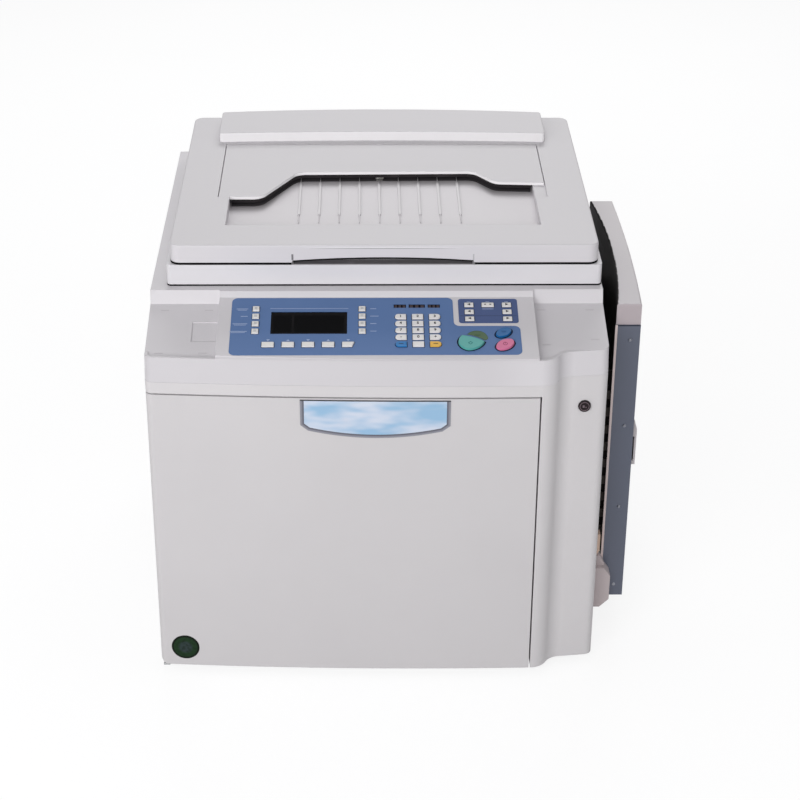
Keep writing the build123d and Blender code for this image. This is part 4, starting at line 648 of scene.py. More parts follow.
def outlines(name, plan, off):
    """Closed outlines where the sheet at this height cuts a node, the largest first."""
    form = merged(name)
    cut = cut_across(form, plan.at(0, 0, off), plan.off)
    left_over = {edge: True for edge in cut if isinstance(edge, bmesh.types.BMEdge)}
    loops = []
    while left_over:
        chain = list(left_over.popitem()[0].verts)
        while chain[-1] is not chain[0]:
            step = next((e for e in chain[-1].link_edges if e in left_over), None)
            if step is None:
                break
            del left_over[step]
            chain.append(step.other_vert(chain[-1]))
        points = [Vector(plan.read(vert.co)[:2]) for vert in chain]
        loop = [tuple(b) for a, b in zip(points, points[1:]) if (b - a).length > 0.02]
        if chain[-1] is chain[0] and len(loop) > 2:
            loops.append(loop if area(loop) > 0 else loop[::-1])
    form.free()
    return sorted(loops, key=area, reverse=True)


def grown(loop, amount):
    """The outline moved outwards by millimetres, or inwards where amount is negative."""
    moved = []
    for before, here, after in zip(loop[-1:] + loop[:-1], loop, loop[1:] + loop[:1]):
        a = (Vector(here) - Vector(before)).normalized()
        b = (Vector(after) - Vector(here)).normalized()
        share = amount / max(0.3, 1 + a.dot(b))
        moved.append((here[0] + (a.y + b.y) * share, here[1] - (a.x + b.x) * share))
    return moved


def corners(name):
    """The two far corners of a node's box, in millimetres."""
    return [Vector(corner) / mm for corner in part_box(name)]


def surface(name, start, way):
    """Where a straight line from a point in millimetres meets a node, also in millimetres."""
    mesh = nodes[name].data
    tree = BVHTree.FromPolygons([v.co for v in mesh.vertices], [p.vertices for p in mesh.polygons])
    place = tree.ray_cast(Vector(start) * mm, Vector(way))[0]
    return place / mm if place else None


print("scanner outline has", len(outlines("scanner_housing", floor_plan, 528.0)[0]), "points")

# %% Find each key's face
def extent(loop):
    """(across, up, width, height) of an outline, the first two at its middle."""
    xs, ys = zip(*loop)
    return (min(xs) + max(xs)) / 2, (min(ys) + max(ys)) / 2, max(xs) - min(xs), max(ys) - min(ys)


def highest(name):
    return max(panel.read(vert.co)[2] for vert in nodes[name].data.vertices)


def key_places(name):
    """Middle and size of each key in a bank, row by row, and how high the faces stand."""
    top = highest(name)
    found = [extent(loop) for loop in outlines(name, panel, top - 0.2)]
    return sorted(found, key=lambda key: (-round(key[1] / 5), key[0])), top


number_tops, number_height = key_places("number_keys")
function_tops, function_height = key_places("function_keys")
display_tops, display_height = key_places("display_keys")
side_keys = [key for key in display_tops if key[2] < 11]
soft_keys = [key for key in display_tops if key[2] >= 11]
film_top = highest("panel_overlay")
small_film_top = highest("function_overlay")
print(len(number_tops), len(function_tops), len(display_tops), "keys found")

# %% [markdown]
# ## Drawing on the machine
# A print is a sheet a twentieth of a millimetre thick that lies on what carries it. Digits are
# text objects, turned into a mesh. Arrows, bars and rings are drawn from a few points, and small
# mouldings are blocks with their edges broken by a bevel.

# %% Ink and drawing helpers
def ink(name, colour, roughness=0.5, shine=0.3):
    finish = Finish(name)
    speck = finish.noise(finish.place(), 1600.0, 2.0)
    tone = finish.blend(speck, shade(colour, 0.9), shade(colour, 1.1))
    return finish.surface(tone, roughness + speck * 0.08, Specular_IOR_Level=shine)


def place_piece(name, mesh, body):
    piece = bpy.data.objects.new(name, mesh)
    scene.collection.objects.link(piece)
    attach(piece, body)


def new_piece(name, form, material, body):
    """A finished mesh on its body, from a bmesh that is used up."""
    bmesh.ops.recalc_face_normals(form, faces=form.faces)
    mesh = bpy.data.meshes.new(name)
    form.to_mesh(mesh)
    form.free()
    mesh.materials.append(material)
    place_piece(name, mesh, body)


def real_mesh(holder):
    """The mesh that an object's curve or modifiers make. The object is used up."""
    scene.collection.objects.link(holder)
    mesh = bpy.data.meshes.new_from_object(holder.evaluated_get(bpy.context.evaluated_depsgraph_get()))
    bpy.data.objects.remove(holder)
    return mesh


print_depth = 0.06


def lay_rows(form, rows, closed=False):
    """Faces between each row of points and the next. The two ends are shut, or closed on each other."""
    if not closed:
        form.faces.new(rows[0][::-1])
        form.faces.new(rows[-1])
    for a, b in zip(rows, rows[1:] + rows[:1] if closed else rows[1:]):
        for i in range(len(a)):
            j = (i + 1) % len(a)
            form.faces.new((a[i], a[j], b[j], b[i]))


def lay_outline(form, plan, outline, off, depth=print_depth):
    """A sheet with this outline, its back face on what carries it."""
    lay_rows(form, [[form.verts.new(plan.at(x, y, height)) for x, y in outline]
                    for height in (off, off + depth)])


def lay_bar(form, plan, x, y, width, height, off, depth=print_depth):
    a, b = width / 2, height / 2
    lay_outline(form, plan, [(x - a, y - b), (x + a, y - b), (x + a, y + b), (x - a, y + b)], off, depth)


def lay_ring(form, plan, loop, inner, outer, low, high):
    """A closed strip along an outline, between two offsets from it and two heights."""
    edges = ((outer, low), (outer, high), (inner, high), (inner, low))
    lay_rows(form, [[form.verts.new(plan.at(*point, off)) for point in grown(loop, amount)]
                    for amount, off in edges], closed=True)


def lay_text(form, plan, words, x, y, size, off):
    """Bold text as a mesh, centred on (x, y)."""
    curve = bpy.data.curves.new(words, "FONT")
    curve.body = words
    curve.size = size
    curve.align_x = "CENTER"
    curve.align_y = "CENTER"
    curve.extrude = print_depth / 2
    curve.offset = 0.22
    curve.resolution_u = 3
    mesh = real_mesh(bpy.data.objects.new(words, curve))
    for vert in mesh.vertices:
        vert.co = plan.at(x + vert.co.x, y + vert.co.y, off + print_depth / 2 + vert.co.z)
    form.from_mesh(mesh)
    bpy.data.meshes.remove(mesh)


def lay_block(form, low, high, soft=0.0):
    """A block between two corners in millimetres, with its edges broken."""
    made = bmesh.ops.create_cube(form, size=1.0)["verts"]
    for vert in made:
        vert.co = Vector([(a if c < 0 else b) * mm for c, a, b in zip(vert.co, low, high)])
    if soft:
        edges = list(dict.fromkeys(edge for vert in made for edge in vert.link_edges))
        bmesh.ops.bevel(form, geom=edges, offset=soft * mm, segments=2, profile=0.7, affect="EDGES")


def draw(name, material, body, slot, lay, *given):
    """A piece of one shape: lay is the function that draws it, given is what it needs."""
    form = bmesh.new()
    lay(form, *given)
    new_piece(name, form, material, body)


dark_ink = ink("dark ink", tint(26, 24, 30))
print("inks mixed")

# %% Digits on the number keys
marks = ["1", "2", "3", "4", "5", "6", "7", "8", "9", "-", "0", "+"]
form = bmesh.new()
for mark, (x, y, width, height) in zip(marks, number_tops):
    lay_text(form, panel, mark, x, y, 6.2, number_height)
for x, y, width, height in (number_tops[-3], number_tops[-1]):
    lay_bar(form, panel, x, y, 6.0, 1.2, number_height)
new_piece("number_marks", form, dark_ink, "number_keys")
print("digits", marks)

# %% [markdown]
# The two end keys of the bottom row are coloured. All fifteen keys are one bank, so the colour
# comes from where a point lies on the panel: two masks on the sloping coordinates.

# %% Coloured end keys
def number_key_plastic():
    finish = Finish("number_key_plastic")
    place = finish.place(panel_corner, (-panel_slope, 0, 0))
    x, y, z = finish.axes(place)
    bottom = y < (number_tops[-1][1] + 6.5) * mm
    left_key = bottom * (x < (number_tops[-3][0] + 10) * mm)
    right_key = bottom * (x > (number_tops[-1][0] - 10) * mm)
    pores = finish.noise(place, 2500.0)
    soft, near_edge = finish.rounded(0.5 * mm)
    tone = finish.blend(left_key, tint(228, 226, 226), tint(22, 112, 176))
    tone = finish.blend(right_key, tone, tint(226, 178, 72))
    # Lighter near edges: partly wear, partly a painted highlight.
    tone = finish.blend(near_edge * 0.2, tone, tint(240, 239, 238))
    return finish.surface(tone, 0.38 + pores * 0.1, pores, 0.01 * mm, soft)


nodes["number_keys"].material_slots[0].material = number_key_plastic()
print("blue and yellow keys set")

# %% Arrows and dashes on the other small keys
form = bmesh.new()
for x, y, width, height in function_tops:
    if width > 13:
        for aside in (-3.4, 3.4):
            lay_bar(form, panel, x + aside, y, 2.6, 1.8, function_height)
    else:
        tip = 2.4 if x > function_tops[1][0] else -2.4
        arrow = [(x + tip, y), (x - tip * 0.7, y + 2.4), (x - tip * 0.7, y - 2.4)]
        lay_outline(form, panel, arrow, function_height)
new_piece("function_marks", form, dark_ink, "function_keys")

form = bmesh.new()
for x, y, width, height in side_keys:
    for rise in (1.1, -1.1):
        lay_bar(form, panel, x, y + rise, 3.8, 0.7, display_height)
new_piece("side_key_marks", form, ink("soft ink", tint(128, 132, 146)), "display_keys")
print(len(function_tops), "arrow keys,", len(side_keys), "keys with dashes")

# %% Signs on the four large keys
def circle(x, y, radius, count=28):
    turns = [2 * math.pi * i / count for i in range(count)]
    return [(x + radius * math.cos(t), y + radius * math.sin(t)) for t in turns]


signs = {"start_key": tint(36, 112, 110), "master_key": tint(40, 66, 34),
         "test_key": tint(12, 62, 112), "stop_key": tint(142, 62, 96)}
for name, colour in signs.items():
    form = bmesh.new()
    places, top = key_places(name)
    x, y = places[0][:2]
    if name == "start_key":
        x, y = x - 1.5, y - 2.0
        diamond = [(x + 3.2, y), (x, y + 3.4), (x - 3.2, y), (x, y - 3.4)]
        lay_ring(form, panel, diamond, -0.9, 0.0, top, top + print_depth)
    elif name == "stop_key":
        lay_ring(form, panel, circle(x, y, 3.0), -0.8, 0.0, top, top + print_depth)
        lay_bar(form, panel, x, y + 1.6, 0.8, 3.2, top)
    else:
        for rise, length in ((0.9, 7.5), (-0.9, 5.0)):
            lay_bar(form, panel, x, y + rise, length, 0.8, top)
    new_piece(name + "_sign", form, ink(name + " ink", colour), name)
print("signs on", list(signs))

# %% [markdown]
# ## Gaps round the keys, and lines on the film
# Each key comes up through a hole that is a little wider than it is. From a step away that gap lies
# in shade, so a dark ring of painted shade lies round each key. Pale strokes stand beside the keys
# where such panels name them: plain strokes, in the place and tone of print. A pale bar over the
# display is a painted reflection on its window's upper edge.

# %% Dark gaps: painted shade round the keys
form = bmesh.new()
gaps = {"number_keys": 0.9, "function_keys": 0.8, "display_keys": 0.8, **dict.fromkeys(signs, 1.9)}
for name, width in gaps.items():
    level = small_film_top if name == "function_keys" else film_top
    for loop in outlines(name, panel, level + 0.5):
        lay_ring(form, panel, loop, 0.08, width, level, level + print_depth)
# Painted shade: near-black for the gaps round the keys, and for the tray's shade lines.
gap_shade_black = ink("gap shade black", tint(20, 25, 40), 0.7, 0.15)
new_piece("key_gap_shade", form, gap_shade_black, "cabinet")
print("gaps drawn")

# %% Strokes on the films
form = bmesh.new()
for index, (x, y, width, height) in enumerate(side_keys):
    side = -1 if x < -100 else 1
    length = (15.0, 8.0, 9.0, 11.0, 19.0, 8.0, 23.0, 8.0)[index]
    middle = x + side * (10.5 + length / 2)
    lay_bar(form, panel, middle, y + 0.9, length, 1.0, film_top)
    if length > 14:
        lay_bar(form, panel, middle, y - 1.6, length * 0.8, 0.8, film_top)
for index, (x, y, width, height) in enumerate(soft_keys):
    tip = 1.5 if index % 2 else -1.5
    triangle = [(x - 2.4, y + 9.6 - tip), (x + 2.4, y + 9.6 - tip), (x, y + 9.6 + tip)]
    lay_outline(form, panel, triangle, film_top)
for x, y, width, height in function_tops[:3]:
    lay_bar(form, panel, x, y + 7.4, 5.0, 0.8, small_film_top)
lay_bar(form, panel, function_tops[1][0], function_tops[1][1] - 7.4, 15.0, 0.8, small_film_top)
window_places = key_places("display_windows")[0]
main_window = max(window_places, key=lambda place: place[2])
# Painted reflection: the pale bar along the display window's upper edge, in the same ink as the printed
# strokes.
lay_bar(form, panel, main_window[0], main_window[1] + main_window[3] / 2 + 4.6, main_window[2], 0.7, film_top)
new_piece("panel_strokes", form, ink("pale ink", tint(168, 182, 212)), "cabinet")

row = (function_tops[3][1] + function_tops[-1][1]) / 2
left, right = function_tops[0][0] - 12, function_tops[2][0] + 12
draw("panel_rule", ink("rule ink", tint(48, 58, 90)), "cabinet", "function_film",
     lay_bar, panel, (left + right) / 2, row, right - left, 0.7, small_film_top)
print(len(side_keys), "side keys and", len(soft_keys), "soft keys named by strokes")

# %% Cells behind the windows
form = bmesh.new()
window_top = highest("display_windows")
for x, y, width, height in window_places:
    if width < 40:
        count = 3 if width > 15 else 2
        step = (width - 3) / count
        for i in range(count):
            middle = x + (i - (count - 1) / 2) * step
            lay_bar(form, panel, middle, y, step * 0.62, height * 0.6, window_top)
new_piece("digit_cells", form, ink("dull grey", tint(74, 64, 68), 0.4, 0.1), "cabinet")

form = bmesh.new()
x, y, width, height = main_window
for aside, share in ((-0.34, 0.24), (0.13, 0.64)):
    lay_bar(form, panel, x + width * aside, y - 1.0, width * share, height * 0.72, window_top)
new_piece("display_cells", form, ink("display black", tint(5, 5, 7), 0.3, 0.03), "cabinet")
print("cells in", len(window_places), "windows")

# %% [markdown]
# ## Dark seams between the covers
# A narrow dark line runs under the scanner, where it sits on the top cover in a dark rubber strip,
# and another under the lid, whose rim stands three millimetres off the scanner. Both strips are
# painted shade for the gaps, which lie in shadow, and follow outlines cut from the covers. The
# lid's strip stops at the finger slot and before the hinges. In the slot, a grey lining and a black
# lip are painted shade, and on the moulding above it two thin creases are painted: a dark line of
# shade and a pale highlight, with painted shade at the slot's two ends.

# %% Painted shade seal under the scanner
# Painted shade: near-black rubber for the lines where gaps lie in shadow, and for the slot's lip.
gap_shade_rubber = rubber("gap_shade_rubber", tint(12, 11, 13), shine=0.1)
housing_low, housing_high = (corner.z for corner in corners("scanner_housing"))
housing_loop = outlines("scanner_housing", floor_plan, housing_low + 1.5)[0]
draw("scanner_shade_seal", gap_shade_rubber, "cabinet", "rubber",
     lay_ring, floor_plan, housing_loop, -1.0, 0.35, housing_low, housing_low + 2.0)
print("seal at", round(housing_low, 1))

# %% Painted shade seal under the lid
lid_stand = 3.0
slot_left, slot_right = -142.5, 100.5
lid_side_end = 240.0
lid_loop = outlines("lid_shell", floor_plan, housing_high + lid_stand + 10.0)[0]
form = bmesh.new()
lay_ring(form, floor_plan, lid_loop, -2.6, 0.2, housing_high + 0.12, housing_high + lid_stand - 0.03)
cut_across(form, (0, lid_side_end * mm, 0), (0, 1, 0), True)
for x in (slot_left, slot_right):
    cut_across(form, (x * mm, 0, 0), (1, 0, 0))
in_slot = [face for face in form.faces if slot_left < face.calc_center_median().x / mm < slot_right
           and face.calc_center_median().y < 0]
bmesh.ops.delete(form, geom=in_slot, context="FACES")
bmesh.ops.holes_fill(form, edges=[edge for edge in form.edges if edge.is_boundary], sides=8)
new_piece("lid_shade_seal", form, gap_shade_rubber, "lid")
print("lid seal from", round(housing_high + 0.12, 2))

# %% Painted shade lining and lip in the finger slot
slot_depth = 13.0
# Painted shade: the grey lining stands in for pale plastic in the slot's shadow.
shade_felt = rubber("slot_shade_felt", tint(118, 116, 119), shine=0.2)
lid_front = min(point[1] for point in lid_loop)
draw("scanner_shade_felt", shade_felt, "cabinet", "rubber",
     lay_block, (slot_left + 3, lid_front + 1.5, housing_high + 0.02),
     (slot_right - 3, lid_front + slot_depth + 6, housing_high + 0.3), 0.1)


def slot_band(high, low=None):
    """A strip that follows the slot's arch. Without low, it reaches down almost to the scanner."""
    middle, half = (slot_left + slot_right) / 2, (slot_right - slot_left) / 2
    span = [slot_left + 1.6 + (slot_right - slot_left - 3.2) * i / 24 for i in range(25)]
    rim = [housing_high + lid_stand + 2.6 + 4.2 * (1 - ((x - middle) / half) ** 2) for x in span]
    upper = [(x, z + high) for x, z in zip(span, rim)]
    lower = [(x, housing_high + 1.0 if low is None else z + low) for x, z in zip(span, rim)]
    return upper + lower[::-1]


draw("slot_shade_felt", shade_felt, "lid", "rubber",
     lay_outline, front_plan, slot_band(0.0), -(lid_front + slot_depth - 0.2), 0.2)
# Painted shade: a black lip just under the arch.
draw("slot_shade_lip", gap_shade_rubber, "lid", "rubber",
     lay_outline, front_plan, slot_band(0.5, -1.9), -(lid_front + 2.2), 1.2)
print("felt in the slot")

# %% Painted creases of the finger grip
def almond(left, right, height, half):
    """A thin outline between two ends, widest in its middle."""
    turns = [(i / 20, half * math.sin(math.pi * i / 20) + 0.03) for i in range(21)]
    low, high = [[(left + (right - left) * t, height + side * bulge) for t, bulge in turns]
                 for side in (-1, 1)]
    return low + high[::-1]


def upright_box(left, right, low, high):
    return [(left, low), (right, low), (right, high), (left, high)]


# Painted shade and highlight: a dark crease line, a pale line above it, and shaded ends of the slot.
for name, outline, colour in (
        ("grip_crease_shade", almond(-119.0, 75.0, 579.2, 0.5), tint(168, 165, 169)),
        ("grip_crease_highlight", almond(-128.0, 84.0, 580.6, 0.45), tint(232, 230, 232)),
        ("grip_end_shade_left", upright_box(-142.2, -139.6, 562.6, 571.0), tint(122, 120, 124)),
        ("grip_end_shade_right", upright_box(97.8, 99.6, 562.6, 571.0), tint(182, 180, 184))):
    draw(name, ink(name + " ink", colour, 0.5), "lid", "lid_plastic",
         lay_outline, front_plan, outline, -lid_front - 0.04, 0.14)
print("grip creases laid")

# %% [markdown]
# ## The document pocket
# The table lies on a soft dark pad that follows its wavy edge, and a dark liner lies under it on
# the pocket's floor: both are painted shade for the gap under the edge. Nine low ridges keep a
# sheet of paper from sticking to that floor. Last comes the fine line where the top cover meets
# the bezel, a line of painted shade.

# %% Painted shade pad and liner under the document table
table_edge = sorted(point for point in outlines("document_table", floor_plan, 582.0)[0] if point[1] < 150)


def edge_at(x):
    """How far back the table's wavy edge lies at this place across."""
    for a, b in zip(table_edge, table_edge[1:]):
        if a[0] <= x <= b[0] and b[0] > a[0]:
            return a[1] + (b[1] - a[1]) * (x - a[0]) / (b[0] - a[0])
    return table_edge[0][1] if x < table_edge[0][0] else table_edge[-1][1]


def under_table(inset):
    """What the table covers in the pocket, up to inset behind its wavy edge."""
    left, right, back = -230.5, 190.5, 180.0
    steps = [left + (right - left) * i / 100 for i in range(101)]
    return [(x, edge_at(x) + inset) for x in steps] + [(right, back), (left, back)]


table_low, pad_low, pocket_floor = 579.95, 574.8, 570.0
# Painted shade: the dark pad under the table's edge and the dark liner below it, where the gap lies in
# shadow.
draw("table_shade_pad", rubber("shade_pad_rubber", tint(40, 37, 39), shine=0.1), "document_table", "rubber",
     lay_outline, floor_plan, under_table(1.2), pad_low, table_low - pad_low)
liner_shade_felt = moulded("liner_shade_felt", tint(74, 71, 74), 0.8, Specular_IOR_Level=0.1)
draw("pocket_shade_liner", liner_shade_felt, "lid", "rubber",
     lay_outline, floor_plan, under_table(-1.0), pocket_floor - 0.1, 0.4)
print("pad follows", len(table_edge), "points of the table's edge")

# %% Ridges in the pocket
form = bmesh.new()
for i in range(9):
    x = -136.0 + 27.9 * i
    back = 76.0 if i == 4 else 82.0  # the middle one stops at the clip
    lay_block(form, (x - 1.9, -36.0, pocket_floor - 0.4), (x + 1.9, back, pocket_floor + 1.9), 1.1)
ridge_plastic = moulded("ridge_plastic", tint(214, 211, 214), patches=ridge_patches)
new_piece("pocket_ridges", form, ridge_plastic, "lid")
print("nine ridges")

# %% Painted shade line at the seam between the top cover and the bezel
cover_low = 453.5
# Painted shade: a grey line along the seam's groove.
draw("cover_seam_shade", ink("seam shade grey", tint(96, 91, 96)), "cabinet", "top_plastic", lay_ring, floor_plan,
     outlines("top_cover", floor_plan, cover_low + 1.5)[0], -0.5, 0.08, cover_low, cover_low + 1.1)
print("seam at", cover_low)

# %% [markdown]
# ## Tray and guides
# The tray's steel end plates are edged by a pale lip of the moulding, and a dark line of painted
# shade parts them from the cap. The side guides carry a ladder of ribs on their outer faces, which
# is what shows in the narrow gap between the machine and the folded tray.

# %% Lip and painted shade line of the end plates
plate_low, plate_high = corners("tray_side_plates")
tray_x = corners("feed_tray")[0].x
lip, seam = bmesh.new(), bmesh.new()
for face_y, side in ((plate_low.y, -1), (plate_high.y, 1)):
    near, far = sorted((face_y - side * 0.2, face_y + side * 0.22))
    lay_block(lip, (tray_x - 1, near, plate_low.z), (tray_x + 2.2, far, plate_high.z), 0.12)
    near, far = face_y - 0.2, face_y + 0.2
    # Painted shade: a dark strip where each plate meets the cap.
    lay_block(seam, (tray_x - 0.9, near, plate_high.z - 1.3), (plate_high.x, far, plate_high.z - 0.1), 0.05)
new_piece("tray_lips", lip, moulded("lip_plastic", tint(224, 208, 206)), "feed_tray")
new_piece("tray_seam_shade", seam, gap_shade_black, "feed_tray")
print("end plates from", round(plate_low.z, 1), "to", round(plate_high.z, 1))

# %% Ribs on the side guides
rib_pitch, half_rib, rib_stand = 27.0, 6.5, 3.0
rib_plastic = moulded("rib_plastic", tint(62, 56, 52), edge=0.6)
for name, side in (("side_guide_front", -1), ("side_guide_rear", 1)):
    low, high = corners(name)
    form = bmesh.new()
    count = int((high.z - low.z - 70) // rib_pitch) + 1
    for i in range(count):
        z = low.z + 38 + i * rib_pitch
        face = surface(name, (low.x + 3, low.y - 20 if side < 0 else high.y + 20, z), (0, -side, 0))
        near, far = sorted((face.y - side * 0.2, face.y + side * rib_stand))
        lay_block(form, (low.x + 1.0, near, z - half_rib), (high.x - 4.5, far, z + half_rib), 0.8)
    new_piece(name + "_ribs", form, rib_plastic, name)
print(count, "ribs on each guide")

# %% [markdown]
# ## Small things on the outside
# Low on the door sits a dark green disc that follows the door's bow, so its rings of points are
# each dropped onto the door. The lid's pocket has a small steel clip in its middle, and the two
# shelves beside the panel have four shallow pads each.

# %% Green disc on the door
def disc_green(middle, radius):
    finish = Finish("disc_green")
    place = finish.place(middle)
    x, y, z = finish.axes(place)
    out = (x * x + z * z).root() / radius
    mottle = finish.noise(place, 260.0, 3.0)
    tone = finish.blend(out.ramp(0.35, 0.6), tint(46, 58, 58), tint(26, 50, 28))
    tone = finish.blend(mottle.ramp(0.4, 0.7) * 0.6, tone, tint(14, 28, 16))
    tone = finish.blend(out.ramp(0.8, 0.9), tone, tint(8, 18, 8))
    return finish.surface(tone, 0.45 + mottle * 0.1, mottle, 0.02 * mm, Specular_IOR_Level=0.12)


disc_x, disc_z, disc_radius = -294.2, 41.5, 19.3
rings = [(0.35, 0.5), (0.6, 0.5), (0.72, 0.5), (0.76, 0.62), (0.9, 0.62), (0.96, 0.5), (1.0, 0.2),
         (1.0, -0.1)]
form = bmesh.new()
rows = []
for share, stand in rings:
    points = circle(disc_x, disc_z, disc_radius * share, 48)
    spots = [surface("front_door", (x, -400, z), (0, 1, 0)) for x, z in points]
    rows.append([form.verts.new((spot - Vector((0, stand, 0))) * mm) for spot in spots])
lay_rows(form, rows)
disc_finish = disc_green((disc_x * mm, 0, disc_z * mm), disc_radius * mm)
new_piece("door_disc", form, disc_finish, "door")
print("disc", 2 * disc_radius, "mm wide")

# %% Clip in the pocket
clip_x, clip_y, clip_width, clip_length = -23.6, 96.0, 10.0, 7.5
seat = surface("lid_shell", (clip_x, clip_y, 600), (0, 0, -1))
clip_plan = Plan(seat * mm, (1, 0, 0), (0, math.cos(0.5), math.sin(0.5)))
tongue = [(clip_width / 2 * math.cos(t), -clip_length * math.sin(t)) for t in
          [math.pi * i / 16 for i in range(17)]]
form = bmesh.new()
lay_outline(form, clip_plan, tongue[::-1], 2.2, 0.9)
lay_bar(form, clip_plan, 0, 0.6, clip_width + 3, 1.6, -0.4, 3.8)
new_piece("pocket_clip", form, turned_steel("clip_steel", tint(214, 212, 208)), "lid")
print("clip at", [round(v, 1) for v in seat])

# %% Pads on the shelves
form = bmesh.new()
pad_places = [(-309.0, -203.0), (-251.0, -203.0), (-311.0, -287.0), (-255.0, -287.0),
              (188.0, -203.0), (252.0, -203.0), (190.0, -272.0), (254.0, -262.0)]
for x, y in pad_places:
    spot = surface("top_cover", (x, y, 600), (0, 0, -1))
    up, off = panel.read(spot * mm)[1:]
    lay_bar(form, panel, x - panel_corner.x / mm, up, 11.0, 1.5, off - 0.05, 0.25)
new_piece("shelf_pads", form, moulded("pad_plastic", tint(196, 192, 197)), "cabinet")
print(len(pad_places), "pads")

# %% Ring on the tray button
button_low, button_high = corners("tray_button")
x, z = (button_low.x + button_high.x) / 2, (button_low.z + button_high.z) / 2
back, proud = -button_low.y - 0.3, 0.42
form = bmesh.new()
lay_ring(form, front_plan, circle(x, z, 6.4), -0.8, 0.0, back, back + proud)
lay_bar(form, front_plan, x - 1.2, z, 2.6, 3.4, back, proud)
lay_bar(form, front_plan, x + 2.0, z - 1.0, 1.4, 1.4, back, proud)
new_piece("button_ring", form, ink("button grey", tint(112, 98, 104)), "tray_button")
print("button at", round(x), round(z))

# %% [markdown]
# ## Behind the door
# With the door open one sees the front frame with the drum's disc and the ink cartridge. The disc
# has a raised rim, the cartridge a blue collar, and beside them sit a green drum lock, a duct for
# the wires along the bottom and two rows of pressed beads that stiffen the sheet.

# %% Drum rim, collar, lock, duct and beads
disc_face, frame_face, cartridge_face = 246.9, 244.8, 252.8  # millimetres in front of the middle
form = bmesh.new()
for radius, count, inner, proud in ((96.0, 72, -3.5, 1.4), (53.0, 56, -2.0, 1.0)):
    rim = circle(drum_x, drum_z, radius, count)
    lay_ring(form, front_plan, rim, inner, 0.0, disc_face - 0.2, disc_face + proud)
new_piece("drum_rim", form, moulded("rim_plastic", tint(104, 111, 121), 0.45), "cabinet")
draw("cartridge_collar", moulded("collar_plastic", tint(38, 92, 148), 0.4), "cabinet", "ink_bottle",
     lay_ring, front_plan, circle(drum_x, drum_z, 44.0, 56), -5.5, 0.0,
     cartridge_face - 0.2, cartridge_face + 1.2)

lock_x, lock_z = 78.0, 214.0
form = bmesh.new()
lay_outline(form, front_plan, circle(lock_x, lock_z, 14.0, 40), frame_face - 0.2, 5.0)
lay_block(form, (lock_x - 4.5, -frame_face - 16, lock_z - 12),
          (lock_x + 4.5, -frame_face - 4.6, lock_z + 26), 2.0)
lock_plastic = moulded("lock_plastic", tint(46, 132, 92), 0.4, edge=1.2)
new_piece("drum_lock", form, lock_plastic, "cabinet")

form = bmesh.new()
lay_block(form, (-286, -frame_face - 13, 30), (160, -frame_face + 0.2, 50), 1.0)
for i in range(37):
    x = -280 + 12.0 * i
    lay_block(form, (x, -frame_face - 13.8, 33), (x + 3, -frame_face - 12.8, 47))
new_piece("wire_duct", form, moulded("duct_plastic", tint(150, 154, 160)), "cabinet")

form = bmesh.new()
beads = [(x - 4, x + 4, 250, 400) for x in (104.0, 126.0, 148.0)]
beads += [(-282, -70, z - 4, z + 4) for z in (92.0, 116.0, 140.0)]
for left, right, low, high in beads:
    lay_block(form, (left, -frame_face - 1.6, low), (right, -frame_face + 0.3, high), 1.2)
new_piece("frame_beads", form, finishes["frame_steel"], "cabinet")
print("drum rim, collar, lock, duct and beads set")

# %% [markdown]
# ## Screws by Geometry Nodes
# Every cover and plate is held by the same kind of screw: a low head with a cross in it. The
# head is made once inside a node tree, from a cone with two bars cut out, and set on points that
# carry the way they face. The tree ends with real meshes and one material, and each result is
# turned into a plain mesh, because an export drops instances.

# %% The screw tree
def screw_tree():
    tree = bpy.data.node_groups.new("Screws", "GeometryNodeTree")
    for label, kind in (("Points", "Geometry"), ("Head Width", "Float"), ("Head Height", "Float"),
                        ("Finish", "Material")):
        tree.interface.new_socket(label, in_out="INPUT", socket_type="NodeSocket" + kind)
    tree.interface.new_socket("Screws", in_out="OUTPUT", socket_type="NodeSocketGeometry")

    build = Finish("Screws", tree)
    given = build.node("NodeGroupInput")
    width, height = given.out("Head Width"), given.out("Head Height")
    head = build.node("GeometryNodeMeshCone", None, {
        "Vertices": 20, "Radius Top": width * 0.34, "Radius Bottom": width * 0.5, "Depth": height})
    cross = build.node("GeometryNodeJoinGeometry")
    for across, up in ((0.62, 0.13), (0.13, 0.62)):
        size = build.node("ShaderNodeCombineXYZ", None, {"X": width * across, "Y": width * up, "Z": height})
        bar = build.node("GeometryNodeMeshCube", None, {"Size": size})
        lift = build.node("ShaderNodeCombineXYZ", None, {"Z": height})
        bar = build.node("GeometryNodeTransform", None, {"Geometry": bar, "Translation": lift})
        tree.links.new(bar.socket, cross.socket.node.inputs[0])
    cut = build.node("GeometryNodeMeshBoolean", {"operation": "DIFFERENCE", "solver": "EXACT"},
                     {"Mesh 1": head, "Mesh 2": cross, "Self Intersection": True})
    facing = build.node("GeometryNodeInputNamedAttribute", {"data_type": "FLOAT_VECTOR"}, {"Name": "facing"})
    turn = build.node("FunctionNodeAlignRotationToVector", {"axis": "Z"}, {"Vector": facing})
    spread = build.node("GeometryNodeInstanceOnPoints", None,
                        {"Points": given.out("Points"), "Instance": cut, "Rotation": turn})
    real = build.node("GeometryNodeRealizeInstances", None, {"Geometry": spread})
    dressed = build.node("GeometryNodeSetMaterial", None, {"Geometry": real, "Material": given.out("Finish")})
    tree.links.new(dressed.socket, tree.nodes.new("NodeGroupOutput").inputs[0])
    return tree


screws = screw_tree()
print("screw tree with", len(screws.nodes), "nodes")

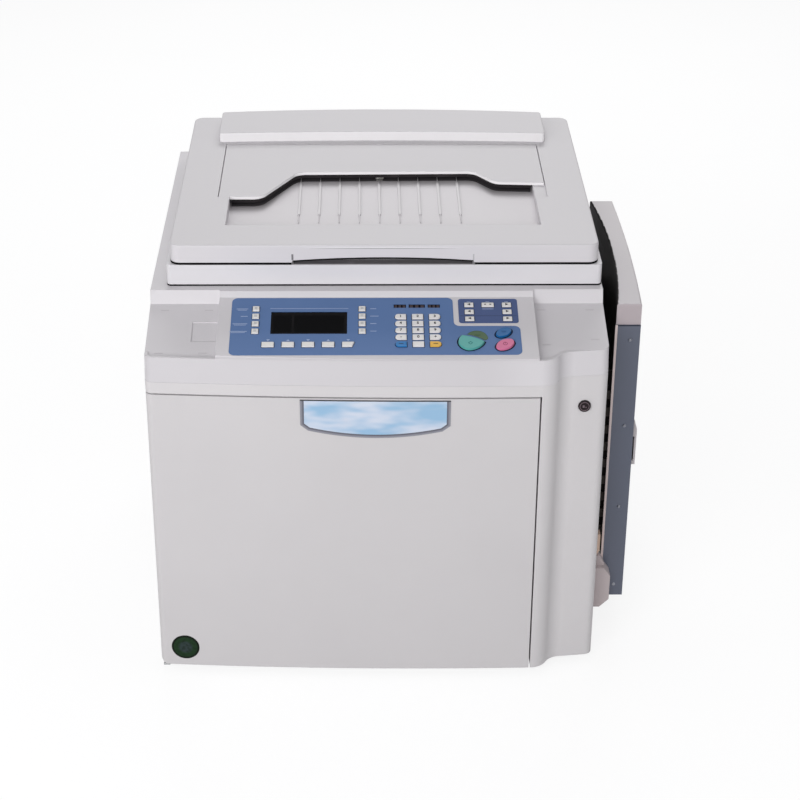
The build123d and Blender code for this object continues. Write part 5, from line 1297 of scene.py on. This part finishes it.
# %% Drive the screws
def drive_screws(name, body, node, places, way, width, finish, height=0.28):
    """Screws where straight lines from the given points, going one way, first meet a node."""
    spots = [spot for spot in (surface(node, place, way) for place in places) if spot]
    mesh = bpy.data.meshes.new(name)
    mesh.from_pydata([spot * mm for spot in spots], [], [])
    facing = mesh.attributes.new("facing", "FLOAT_VECTOR", "POINT")
    for item in facing.data:
        item.vector = -Vector(way)
    holder = bpy.data.objects.new(name + "_points", mesh)
    modifier = holder.modifiers.new("screws", "NODES")
    modifier.node_group = screws
    inputs = {"Head Width": width * mm, "Head Height": width * height * mm, "Finish": finish}
    for item in screws.interface.items_tree:
        if item.name in inputs:
            modifier[item.identifier] = inputs[item.name]
    solid = real_mesh(holder)
    bpy.data.meshes.remove(mesh)
    solid.name = name
    if not solid.materials:
        solid.materials.append(finish)
    place_piece(name, solid, body)
    return len(spots)


plate_screw = turned_steel("plate_screw", tint(140, 142, 150))
zinc_screw = turned_steel("zinc_screw", tint(176, 176, 172))
count = 0
for side, way in (("front", 1), ("rear", -1)):
    count += drive_screws(side + "_plate_screws", "feed_tray", "tray_side_plates",
                          [(309, -260 * way, z) for z in (460, 329, 200)], (0, way, 0), 5.2, plate_screw)
    count += drive_screws(side + "_sunk_screw", "feed_tray", "tray_side_plates",
                          [(309, -260 * way, 70)], (0, way, 0), 5.2, plate_screw, 0.045)

rear_places = [(x, 380, z) for x in (-309, -118, 72, 251) for z in (32, 438)]
rear_places += [(x, 380, 235) for x in (-309, 251)]
right_places = [(400, y, z) for y in (-200, 20, 240) for z in (28, 440)]
frame_places = [(x, -330, z) for x in (-300, 168) for z in (72, 230)]
frame_places += [(x, -330, z) for x, z in ((-60, 72), (60, 72), (168, 420), (-150, 424), (60, 424))]
drum_turns = [math.radians(60 * i) for i in range(6)]
drum_places = [(drum_x + 74 * math.cos(t), -330, drum_z + 74 * math.sin(t)) for t in drum_turns]
pan_places = [(x, y, -40) for x in (-250, -29, 192) for y in (-150, 20, 190)]
for name, node, places, way, width in (
        ("rear_cover_screws", "rear_cover", rear_places, (0, -1, 0), 7.0),
        ("right_cover_screws", "right_cover", right_places, (-1, 0, 0), 7.0),
        ("front_frame_screws", "front_frame", frame_places, (0, 1, 0), 7.0),
        ("drum_disc_screws", "drum_frame", drum_places, (0, 1, 0), 6.0),
        ("pan_screws", "base_pan", pan_places, (0, 0, 1), 7.0)):
    count += drive_screws(name, "cabinet", node, places, way, width, zinc_screw)
print(count, "screws driven")
